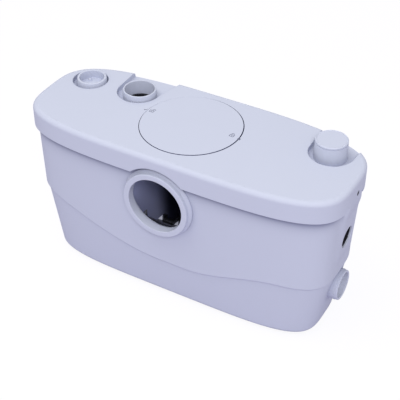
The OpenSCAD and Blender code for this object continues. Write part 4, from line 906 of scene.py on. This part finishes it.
def finish(name):
    """Material of a recipe: one surface group, the deepest of its shades, a bump and a plain shader."""
    if name in bpy.data.materials:
        return bpy.data.materials[name]
    recipe = RECIPES[name]
    material = bpy.data.materials.new(name)
    material.use_nodes = True
    tree = material.node_tree
    shader = tree.nodes["Principled BSDF"]
    surface = add_group(tree, recipe.group, recipe.more)
    surface.inputs["Colour"].default_value = (*getattr(colours(), recipe.colour), 1.0)
    for socket, value in zip(surface.inputs[1:], recipe.values):
        socket.default_value = value
    shade = 0.0
    for group, values in recipe.shades:
        shade = math_node(tree, "MAXIMUM", add_group(tree, group, values).outputs["Mask"], shade)
    if recipe.shades:
        tree.links.new(shade, surface.inputs["Shade"])
    raised = add(tree, "ShaderNodeBump")
    raised.inputs["Strength"].default_value = recipe.bump
    raised.inputs["Distance"].default_value = recipe.distance
    shader.inputs["Metallic"].default_value = recipe.metallic
    shader.inputs["Specular IOR Level"].default_value = recipe.specular
    shader.inputs["Sheen Weight"].default_value = recipe.sheen
    tree.links.new(surface.outputs["Colour"], shader.inputs["Base Color"])
    tree.links.new(surface.outputs["Roughness"], shader.inputs["Roughness"])
    tree.links.new(surface.outputs["Height"], raised.inputs["Height"])
    tree.links.new(raised.outputs["Normal"], shader.inputs["Normal"])
    return material


# Operators


class PUMP_OT_tank(bpy.types.Operator):
    """Tank with its wave crease, pan inlet ring, low spigot and side pad with its rubber sleeve"""

    bl_idname = "pump.tank"
    bl_label = "Tank"

    def execute(self, context):
        size = shapes()
        edge, step = size.tank_edge / MM, size.crease_step / MM
        turn, soft, lip = size.crease_height / MM, size.pad_edge / MM, size.lip / MM
        columns = plan_columns(TANK_HALF, TANK_FRONT, 560, near_pad)
        walls = [tank_outside(c, edge, step, turn, soft) + tank_inside(c, step) for c in columns]
        tank = ring_solid("tank_shell", list(zip(*walls)))
        self.add_pan_inlet(tank, lip)
        self.add_low_spigot(tank, lip)
        self.add_high_inlet(tank, lip)
        self.add_hidden_details(tank)
        finish_piece(tank, "base", "tank plastic", "shell", "tank", "side_panel")
        return {"FINISHED"}

    def add_pan_inlet(self, tank, lip):
        at = (INLET_X, 0, INLET_Z)
        carve(tank, rod("inlet_way", INLET_HOLE, *INLET_WAY_Y, at, "Y", steps=160))
        ring = [INLET_TAIL, (INLET_BORE, INLET_BACK, EDGE_R), (INLET_BORE, INLET_FACE, lip),
                (INLET_RING, INLET_FACE, lip), (INLET_RING, INLET_NECK_Y, INLET_NECK_R),
                (INLET_COLLAR, INLET_COLLAR_Y, INLET_COLLAR_EDGE), (INLET_COLLAR, INLET_ROOT_Y)]
        weld(tank, turned("inlet_ring", ring, at, "Y", steps=200))

    def add_low_spigot(self, tank, lip):
        at = (0, SIDE_Y, LOW_Z)
        carve(tank, rod("low_way", LOW_HOLE, *LOW_WAY_X, at, "X"))
        tube = [(LOW_R, LOW_SEAT), (LOW_TUBE, LOW_SEAT), (LOW_TUBE, LOW_COLLAR, LOW_COLLAR_EDGE),
                (LOW_SPIGOT, LOW_COLLAR, LOW_COLLAR_EDGE), (LOW_SPIGOT, LOW_MOUTH, lip),
                (LOW_R, LOW_MOUTH, lip)]
        weld(tank, turned("low_spigot", tube, at, "X"))
        weld(tank, *flap_ears(LOW_SEAT, LOW_Z, LOW_R))
        carve(tank, rod("low_bore", LOW_R, *LOW_BORE_X, at, "X", steps=160))

    def add_high_inlet(self, tank, lip):
        at = (0, SIDE_Y, HIGH_Z)
        wall = HIGH_R + HIGH_WALL
        tube = [(0, HIGH_SEAT), (wall, HIGH_SEAT), (wall, HIGH_END), (0, HIGH_END)]
        weld(tank, turned("high_tube", tube, at, "X", closed=False))
        weld(tank, *flap_ears(HIGH_SEAT, HIGH_Z, HIGH_R))
        lean = (PAD_X1 - PAD_X0) / (PAD_Z1 - PAD_Z0)
        face = pad_face(HIGH_Z)
        wide = HIGH_R + SLEEVE_T
        mouth = face - SLEEVE_DROP
        ring = [(HIGH_R, SLEEVE_IN), (wide, SLEEVE_IN), (wide, mouth), (HIGH_R, mouth)]
        bore = [(0, HIGH_BORE_X), (HIGH_R, HIGH_BORE_X), *ring, (HIGH_R, face - lip)]
        bore += [(HIGH_R + out, face - drop) for out, drop in quarter(lip, 3, first=1)]
        bore += [(HIGH_R + lip, face + HIGH_PAST), (0, face + HIGH_PAST)]
        cutter = turned("high_bore", bore, at, "X", closed=False)
        sleeve = turned("side_sleeve", ring, at, "X")
        for piece in (cutter, sleeve):
            for vertex in piece.data.vertices:
                vertex.co.x += (vertex.co.z - HIGH_Z) * lean
        carve(tank, cutter)
        finish_piece(sleeve, "base", "seal rubber", "seal_rubber")

    def add_hidden_details(self, tank):
        at = (0, SCREW_Y, SCREW_Z)
        for boss, hole in zip(both_ends(*SCREW_BOSS_X), both_ends(*SCREW_TANK_X)):
            weld(tank, rod("screw_boss", SCREW_BOSS, *boss, at, "X", steps=48))
            carve(tank, rod("screw_hole", SCREW_HOLE, *hole, at, "X", steps=32))
        carve(tank, brick("gland_hole", (GLAND_X - GLAND_HOLE, GLAND_HOLE_Y[0], GLAND_Z - GLAND_HOLE),
                          (GLAND_X + GLAND_HOLE, GLAND_HOLE_Y[1], GLAND_Z + GLAND_HOLE)))


class PUMP_OT_lid(bpy.types.Operator):
    """Lid with its rounded edge, skirt, arch, recesses and cover seat"""

    bl_idname = "pump.lid"
    bl_label = "Lid"

    def execute(self, context):
        size = shapes()
        edge, broken = size.lid_edge / MM, size.edge_break / MM
        columns = plan_columns(LID_HALF, LID_FRONT, 480, even)
        rings = [lid_ring(columns, inset, SKIRT_Z + rise) for rise, inset in quarter(broken, 4)]
        rings += [lid_ring(columns, 0, mix(SKIRT_Z + broken, LID_TOP - edge, k / 4)) for k in range(1, 4)]
        rings += [lid_ring(columns, inset, LID_TOP - drop) for inset, drop in quarter(edge, 12)]
        lid = ring_solid("lid_shell", rings)
        carve(lid, self.hollow(columns))
        carve(lid, recess_cutter(*OUTLET_RECESS, broken), recess_cutter(*CAPPED_RECESS, broken))
        well = [(0, RECESS_Z)] + [(BLIND_WELL_R + grow, z) for grow, z in recess_profile(broken)[1:]]
        well.append((0, LID_TOP + 3))
        carve(lid, turned("blind_well", well, (*BLIND_WELL, 0), closed=False))
        for at, radius in SOCKET_HOLES:
            carve(lid, rod("socket_hole", radius, CUT_Z, LID_UNDER + 1, (*at, 0), "Z"))
        self.cut_cover_seat(lid, size)
        self.cut_skirt(lid, broken)
        finish_piece(lid, "base", "lid plastic", "shell", "lid", "lid_skirt")
        return {"FINISHED"}

    def hollow(self, columns):
        """Hollow under the lid, less what is kept under the recesses and round the cover's seat."""
        inner = [(LID_WALL - 0.6, SKIRT_Z - 1), (LID_WALL - 0.4, SKIRT_Z), (LID_WALL, SKIRT_Z + 0.4),
                 (LID_WALL, LEDGE_Z), (LEDGE_W, LEDGE_Z), (LEDGE_W, LID_UNDER)]
        hollow = ring_solid("lid_hollow", [lid_ring(columns, inset, z) for inset, z in inner])
        for recess in (OUTLET_RECESS, CAPPED_RECESS):
            keep = [recess_outline(*recess, LID_WALL, z) for z in (LEDGE_Z, LID_TOP)]
            carve(hollow, ring_solid("recess_keep", keep))
        carve(hollow, rod("blind_keep", BLIND_WELL_R + LID_WALL, LEDGE_Z, LID_TOP, (*BLIND_WELL, 0), "Z"))
        carve(hollow, rod("cover_keep", COVER_RING_R, COVER_RING_Z, LID_TOP, (*COVER_AT, 0), "Z", steps=160))
        return hollow

    def cut_cover_seat(self, lid, size):
        """Seat of the cover; the gap round the disc is widest at the front right."""
        front, back = size.groove_front / MM, size.groove_back / MM
        radius = COVER_R + (front + back) / 2
        at = (COVER_AT[0] + GROOVE_SHIFT, COVER_AT[1] - (front - back) / 2, 0)
        wide = radius + SEAT_BREAK
        seat = [(0, COVER_SEAT), (radius, COVER_SEAT), (radius, LID_TOP - SEAT_BREAK),
                (radius + SEAT_BEND, LID_TOP - SEAT_BEND), (wide, LID_TOP), (wide, LID_TOP + 2),
                (0, LID_TOP + 2)]
        carve(lid, turned("cover_seat", seat, at, closed=False, steps=320))
        carve(lid, rod("cover_way", COVER_WAY_R, CUT_Z, LID_TOP - 1, (*COVER_AT, 0), "Z", steps=160))
        for k in range(LUGS):
            middle = NOTCH_TURN + 360 / LUGS * k
            carve(lid, sector("lug_notch", *NOTCH_R, middle, NOTCH_WIDE, CUT_Z, LID_TOP - 2, COVER_AT))

    def cut_skirt(self, lid, broken):
        front = -LID_HALF[1]
        arch = [(0, ARCH_BACK), (ARCH_R, ARCH_BACK), (ARCH_R, front + broken)]
        arch += [(ARCH_R + out, front + drop) for out, drop in quarter(broken, 3, first=1)]
        arch += [(ARCH_R + broken, front - 4), (0, front - 4)]
        carve(lid, turned("arch", arch, (INLET_X, 0, INLET_Z), "Y", closed=False, steps=240))
        carve(lid, brick("pad_notch", (PAD_NOTCH_X[0], PAD_LOW.y - PAD_NOTCH_GAP, SKIRT_Z - 2),
                         (PAD_NOTCH_X[1], PAD_HIGH.y + PAD_NOTCH_PLAY, PAD_Z1 + PAD_NOTCH_PLAY)))
        at = (0, SCREW_Y, SCREW_Z)
        for hole, sink in zip(both_ends(*SCREW_LID_X), both_ends(SCREW_SEAT, SCREW_LID_X[1])):
            carve(lid, rod("screw_hole", SCREW_HOLE, *hole, at, "X", steps=32))
            carve(lid, rod("screw_sink", SCREW_SINK, *sink, at, "X", steps=64))


class PUMP_OT_sockets(bpy.types.Operator):
    """Discharge socket with its lip seal, blind socket with its gate stub and the neck under the cap"""

    bl_idname = "pump.sockets"
    bl_label = "Sockets"

    def execute(self, context):
        lip = shapes().lip / MM
        foot = RECESS_Z - SOCKET_SINK
        low, floor, top = OUTLET_Z
        outlet = [(OUTLET_WAY, low), (OUTLET_R, low, EDGE_R), (OUTLET_R, foot),
                  (OUTLET_R + SOCKET_FLARE, foot), (OUTLET_R + 1, foot + 1.4, 1.2), (OUTLET_R, top, lip),
                  (OUTLET_IN, top, lip), (OUTLET_IN, floor, FOOT_R), (OUTLET_WAY, floor, 0.4)]
        low, floor, top = BLIND_Z
        blind = [(0, low), (BLIND_R, low, EDGE_R), (BLIND_R, foot), (BLIND_R + SOCKET_FLARE, foot),
                 (BLIND_R, top, lip), (BLIND_IN, top, lip), (BLIND_IN, floor, FOOT_R), (0, floor)]
        low, floor, top = NECK_Z
        seal_low, seal_high = NECK_SEAL_Z
        neck = [(0, low), (NECK_R, low, EDGE_R), (NECK_R, seal_low), (NECK_SEAL_R, seal_low),
                (NECK_SEAL_R, seal_high), (NECK_R, seal_high), (NECK_R, top, EDGE_R), (NECK_IN, top, EDGE_R),
                (NECK_IN, floor, FOOT_R), (0, floor)]
        low, shoulder, top = GATE_Z
        gate = [(0, low), (GATE_R, low), (GATE_R, shoulder), (GATE_TIP_R, top, 0.5), (0, top)]
        low, inner_top, outer_top = LIP_SEAL_Z
        seal = [(LIP_SEAL_R, low), (LIP_SEAL_R, outer_top, 0.5), (LIP_SEAL_IN[1], inner_top, EDGE_R),
                (LIP_SEAL_IN[0], low, EDGE_R)]
        sockets = turned("lid_sockets_moulded", outlet, (*OUTLET_AT, 0))
        weld(sockets, turned("blind", blind, (*BLIND_AT, 0), closed=False),
             turned("neck", neck, (*CAPPED_AT, 0), closed=False),
             turned("gate_stub", gate, (*GATE_AT, 0), closed=False, steps=32))
        finish_piece(sockets, "base", "shell plastic", "shell", "lid_sockets")
        finish_piece(turned("outlet_seal", seal, (*OUTLET_AT, 0)), "base", "seal rubber", "seal_rubber")
        return {"FINISHED"}


class PUMP_OT_cover(bpy.types.Operator):
    """Round inspection cover with its plug and bayonet lugs"""

    bl_idname = "pump.cover"
    bl_label = "Inspection cover"

    def execute(self, context):
        under = COVER_SEAT + 0.05
        seal_low, seal_high = PLUG_SEAL_Z
        profile = [(0, COVER_SEAT), (PLUG_IN, COVER_SEAT, FOOT_R), (PLUG_IN, PLUG_Z, FOOT_R),
                   (PLUG_OUT, PLUG_Z, 1.0), (PLUG_OUT, seal_low), (PLUG_SEAL_R, seal_low),
                   (PLUG_SEAL_R, seal_high), (PLUG_OUT, seal_high), (PLUG_OUT, under), (COVER_R, under, 0.3),
                   (COVER_R, LID_TOP, 0.35), (0, LID_TOP)]
        cover = turned("cover_disc", profile, (*COVER_AT, 0), closed=False, steps=320)
        for k in range(LUGS):
            weld(cover, sector("lug", *LUG_R, 360 / LUGS * k, LUG_WIDE, *LUG_Z, COVER_AT))
        finish_piece(cover, "cover", "lid plastic", "shell", "inspection_cover")
        return {"FINISHED"}


class PUMP_OT_cap(bpy.types.Operator):
    """Cap on the spare outlet, with a fine parting line under its top edge"""

    bl_idname = "pump.cap"
    bl_label = "Outlet cap"

    def execute(self, context):
        foot = RECESS_Z + CAP_GAP
        line_low, line_high = CAP_LINE_Z
        profile = [(0, CAP_UNDER), (CAP_BORE, CAP_UNDER), (CAP_BORE, foot, 0.5), (CAP_FOOT_R, foot, 0.5),
                   (CAP_R, line_low), (CAP_LINE_R, line_low + CAP_LINE_LEAN),
                   (CAP_LINE_R, line_high - CAP_LINE_LEAN), (CAP_R, line_high), (CAP_R, CAP_SHOULDER, 0.3),
                   (CAP_RIM_R[0], CAP_TOP, 0.4), (CAP_RIM_R[1], CAP_TOP, 0.2), (CAP_DISH_R, CAP_DISH_Z, 0.2),
                   (0, CAP_DISH_Z)]
        cap = turned("outlet_cap_moulded", profile, (*CAPPED_AT, 0), closed=False)
        finish_piece(cap, "cap", "shell plastic", "shell", "outlet_cap")
        return {"FINISHED"}


class PUMP_OT_fittings(bpy.types.Operator):
    """Small fittings: lid screws with cross slots, ribbed feet and the cable gland"""

    bl_idname = "pump.fittings"
    bl_label = "Fittings"

    def execute(self, context):
        self.add_screws()
        self.add_feet()
        self.add_gland()
        return {"FINISHED"}

    def add_screws(self):
        seat = SCREW_SEAT
        tip, crown = seat - SCREW_LONG, seat + SCREW_CROWN
        profile = [(0, tip), (SCREW_TIP_R, tip), (SCREW_R, tip + SCREW_TIP), (SCREW_R, seat),
                   (SCREW_HEAD, seat, 0.2), (SCREW_HEAD, seat + SCREW_RIM, 0.3),
                   (SCREW_CROWN_R, crown, FOOT_R), (0, crown)]
        screws = []
        for side, (start, end) in zip((-1, 1), both_ends(*SCREW_SLOT)):
            sided = [(r, side * h, *fillet) for r, h, *fillet in profile]
            screw = turned("screw", sided, (0, SCREW_Y, SCREW_Z), "X", closed=False, steps=64)
            for y, z in ((SLOT_LONG, SLOT_NARROW), (SLOT_NARROW, SLOT_LONG)):
                low = (start, SCREW_Y - y, SCREW_Z - z)
                carve(screw, brick("slot", low, (end, SCREW_Y + y, SCREW_Z + z)))
            screws.append(screw)
        weld(*screws).name = "lid_screws_slotted"
        finish_piece(screws[0], "base", "darkened steel", "steel", "lid_screws")

    def add_feet(self):
        profile = [(0, 0.6), (3.5, 0.6), (4.0, 0.0, 0.2), (7.2, 0.0, 0.2), (7.5, 0.5), (8.5, 0.5),
                   (8.8, 0.0, 0.2), (11.4, 0.0, 0.5), (FEET_R, FEET_HIGH), (0, FEET_HIGH)]
        feet = [turned("foot", profile, (*at, 0), closed=False, steps=96) for at in FEET_AT]
        weld(*feet).name = "feet_ribbed"
        finish_piece(feet[0], "base", "seal rubber", "seal_rubber", "feet")

    def add_gland(self):
        low, high = node_box("cable_gland")
        at = (GLAND_X, 0, GLAND_Z)
        flange = high.y - GLAND_TAIL
        face = flange + GLAND_FLANGE_T
        body = [(CORD_R, low.y), (GLAND_R, low.y, 0.5), (GLAND_R, flange), (GLAND_FLANGE, flange, 0.4),
                (GLAND_FLANGE, face, FOOT_R), (GLAND_NOSE[0], face + 0.4), (GLAND_NOSE[1], high.y - 3, 1.5),
                (GLAND_NOSE[2], high.y, 1.2), (CORD_R, high.y, EDGE_R)]
        gland = turned("cable_gland_ribbed", body, at, "Y", steps=144)
        for k in range(GLAND_FLUTES):
            spin = 2 * math.pi * k / GLAND_FLUTES
            flute = (GLAND_X + GLAND_FLUTE_AT * math.cos(spin), 0, GLAND_Z + GLAND_FLUTE_AT * math.sin(spin))
            carve(gland, rod("flute", GLAND_FLUTE_R, face + 0.4, high.y - 2, flute, "Y", steps=24))
        weld(gland, brick("square", (GLAND_X - GLAND_R, flange - GLAND_SQUARE, GLAND_Z - GLAND_R),
                          (GLAND_X + GLAND_R, flange + 0.5, GLAND_Z + GLAND_R)))
        carve(gland, rod("cord_way", CORD_R, low.y - 1, high.y + 1, at, "Y"))
        finish_piece(gland, "base", "inner black plastic", "seal_rubber", "cable_gland")


class PUMP_OT_marks(bpy.types.Operator):
    """Small moulded marks beside the cover's groove: tick, open lock, closed lock and pointer"""

    bl_idname = "pump.marks"
    bl_label = "Cover marks"

    def execute(self, context):
        rise = shapes().mark_rise / MM
        tick = [(-1.6, -0.2), (-0.9, 0.5), (-0.5, 0.1), (1.4, 2.0), (1.8, 1.6), (-0.5, -1.0)]
        pointer = [(-1.9, 0), (1.6, -1.5), (1.6, 1.5)]
        self.add_mark("mark_tick", [tick], (-84.7, 5.5), rise, "base")
        self.add_mark("mark_pointer", [pointer], (66.9, 5.8), rise, "base")
        self.add_mark("mark_open_lock", self.lock(1.44), (-74.8, 8.0), rise, "cover")
        self.add_mark("mark_closed_lock", self.lock(0.0), (54.5, 9.8), rise, "cover")
        return {"FINISHED"}

    def lock(self, aside):
        """Outlines of a small padlock: a framed body with a keyhole and a shackle, moved aside when open."""
        body = [[(x0, y0), (x1, y0), (x1, y1), (x0, y1)] for x0, y0, x1, y1 in (
            (-2.4, -2.6, 2.4, -2.1), (-2.4, -2.1, -1.9, 0.4), (1.9, -2.1, 2.4, 0.4), (-2.4, 0.4, 2.4, 0.9),
            (-0.4, -1.4, 0.4, -0.4))]
        bends = 12
        spins = [math.pi * k / bends for k in range(bends + 1)]
        outer, inner = [[(aside + radius * math.cos(spin), 1.5 + radius * math.sin(spin)) for spin in spins]
                        for radius in (1.7, 1.2)]
        return body + [[outer[k], outer[k + 1], inner[k + 1], inner[k]] for k in range(bends)]

    def add_mark(self, name, outlines, at, rise, body):
        verts, faces = [], []
        for outline in outlines:
            count, first = len(outline), len(verts)
            for z in (LID_TOP - 0.1, LID_TOP + rise):
                verts += [(at[0] + MARK_SCALE * x, at[1] + MARK_SCALE * y, z) for x, y in outline]
            faces.append(tuple(first + i for i in reversed(range(count))))
            faces.append(tuple(first + count + i for i in range(count)))
            for i in range(count):
                j = (i + 1) % count
                faces.append((first + i, first + j, first + count + j, first + count + i))
        mark = face_outwards(mesh_object(name, verts, faces))
        finish_piece(mark, body, "mark plastic", "shell")


class PUMP_OT_finishes(bpy.types.Operator):
    """Finishes of the solids that keep their own shape"""

    bl_idname = "pump.finishes"
    bl_label = "Finishes"

    def execute(self, context):
        slots = {part["node"]: part["material_slot"] for part in frame["record"]["subparts"]}
        for name, obj in frame["nodes"].items():
            obj.data.materials.clear()
            obj.data.materials.append(finish(NODE_FINISHES.get(name, SLOT_FINISHES[slots[name]])))
        return {"FINISHED"}


class PUMP_OT_stage(bpy.types.Operator):
    """Pale floor, soft lights and the camera"""

    bl_idname = "pump.stage"
    bl_label = "Stage"

    def execute(self, context):
        scene = context.scene
        scene.view_settings.view_transform = "Standard"
        self.add_floor()
        self.add_backdrop(scene)
        self.add_lights()
        self.add_camera(scene)
        return {"FINISHED"}

    def add_floor(self):
        """Floor that looks white and throws a tinted light back on the part."""
        half = FLOOR_HALF
        corners = [(-half, -half, 0), (half, -half, 0), (half, half, 0), (-half, half, 0)]
        floor = mesh_object("floor", corners, [(0, 1, 2, 3)])
        floor.data.transform(Matrix.Scale(MM, 4))
        material = bpy.data.materials.new("floor white")
        material.use_nodes = True
        tree = material.node_tree
        shader = tree.nodes["Principled BSDF"]
        shader.inputs["Base Color"].default_value = FLOOR_COLOUR
        shader.inputs["Roughness"].default_value = FLOOR_ROUGHNESS
        shader.inputs["Specular IOR Level"].default_value = FLOOR_SPECULAR
        glow = add(tree, "ShaderNodeEmission")
        glow.inputs["Strength"].default_value = FLOOR_GLOW
        seen = add(tree, "ShaderNodeLightPath").outputs["Is Camera Ray"]
        both = add(tree, "ShaderNodeMixShader")
        tree.links.new(math_node(tree, "MULTIPLY", seen, FLOOR_GLOW_SHARE), both.inputs["Fac"])
        tree.links.new(shader.outputs[0], both.inputs[1])
        tree.links.new(glow.outputs[0], both.inputs[2])
        tree.links.new(both.outputs[0], tree.nodes["Material Output"].inputs["Surface"])
        floor.data.materials.append(material)

    def add_backdrop(self, scene):
        """Even light from all round, seen as a pale backdrop."""
        world = bpy.data.worlds.new("studio")
        world.use_nodes = True
        tree = world.node_tree
        sky = tree.nodes["Background"]
        sky.inputs["Color"].default_value = SKY_COLOUR
        seen = add(tree, "ShaderNodeMapRange")
        tree.links.new(add(tree, "ShaderNodeLightPath").outputs["Is Camera Ray"], seen.inputs["Value"])
        seen.inputs["To Min"].default_value = colours().ambient
        seen.inputs["To Max"].default_value = BACKDROP
        tree.links.new(seen.outputs["Result"], sky.inputs["Strength"])
        scene.world = world

    def add_lights(self):
        for name, at, size, tint in LIGHTS:
            data = bpy.data.lights.new(name, "AREA")
            data.size = size
            data.energy = getattr(colours(), name)
            data.color = tint
            light = bpy.data.objects.new(name, data)
            light.location = at
            aim = Vector(LIGHT_AIM) - Vector(at)
            light.rotation_euler = aim.to_track_quat("-Z", "Y").to_euler()
            bpy.context.collection.objects.link(light)

    def add_camera(self, scene):
        data = bpy.data.cameras.new("camera")
        data.lens = LENS
        data.sensor_width = SENSOR
        camera = bpy.data.objects.new("camera", data)
        azimuth, elevation = math.radians(CAMERA_AZIMUTH), math.radians(CAMERA_ELEVATION)
        level = math.cos(elevation)
        back = Vector((math.sin(azimuth) * level, -math.cos(azimuth) * level, math.sin(elevation)))
        camera.location = Vector(CAMERA_AIM) * MM + back * CAMERA_FAR
        camera.rotation_euler = back.to_track_quat("Z", "Y").to_euler()
        bpy.context.collection.objects.link(camera)
        scene.camera = camera


class PUMP_PT_sidebar(bpy.types.Panel):
    """Sizes, colours and steps of the pump"""

    bl_idname = "PUMP_PT_sidebar"
    bl_label = "Pump"
    bl_space_type = "VIEW_3D"
    bl_region_type = "UI"
    bl_category = "Pump"

    def draw(self, context):
        layout = self.layout
        for group in (context.scene.pump_shapes, context.scene.pump_colours):
            box = layout.box()
            for key in group.__annotations__:
                box.prop(group, key)
        for step in STEPS:
            layout.operator(step.bl_idname)


STEPS = (PUMP_OT_finishes, PUMP_OT_tank, PUMP_OT_lid, PUMP_OT_sockets, PUMP_OT_cover, PUMP_OT_cap,
         PUMP_OT_fittings, PUMP_OT_marks, PUMP_OT_stage)
CLASSES = (PumpShapes, PumpColours, *STEPS, PUMP_PT_sidebar)


def register():
    for cls in CLASSES:
        bpy.utils.register_class(cls)
    bpy.types.Scene.pump_shapes = PointerProperty(type=PumpShapes)
    bpy.types.Scene.pump_colours = PointerProperty(type=PumpColours)


def unregister():
    del bpy.types.Scene.pump_colours
    del bpy.types.Scene.pump_shapes
    for cls in reversed(CLASSES):
        bpy.utils.unregister_class(cls)


def main():
    """Builds the whole scene."""
    register()
    bpy.ops.pump.finishes()
    bpy.ops.pump.tank()
    bpy.ops.pump.lid()
    bpy.ops.pump.sockets()
    bpy.ops.pump.cover()
    bpy.ops.pump.cap()
    bpy.ops.pump.fittings()
    bpy.ops.pump.marks()
    bpy.ops.pump.stage()


if __name__ == "__main__":
    main()
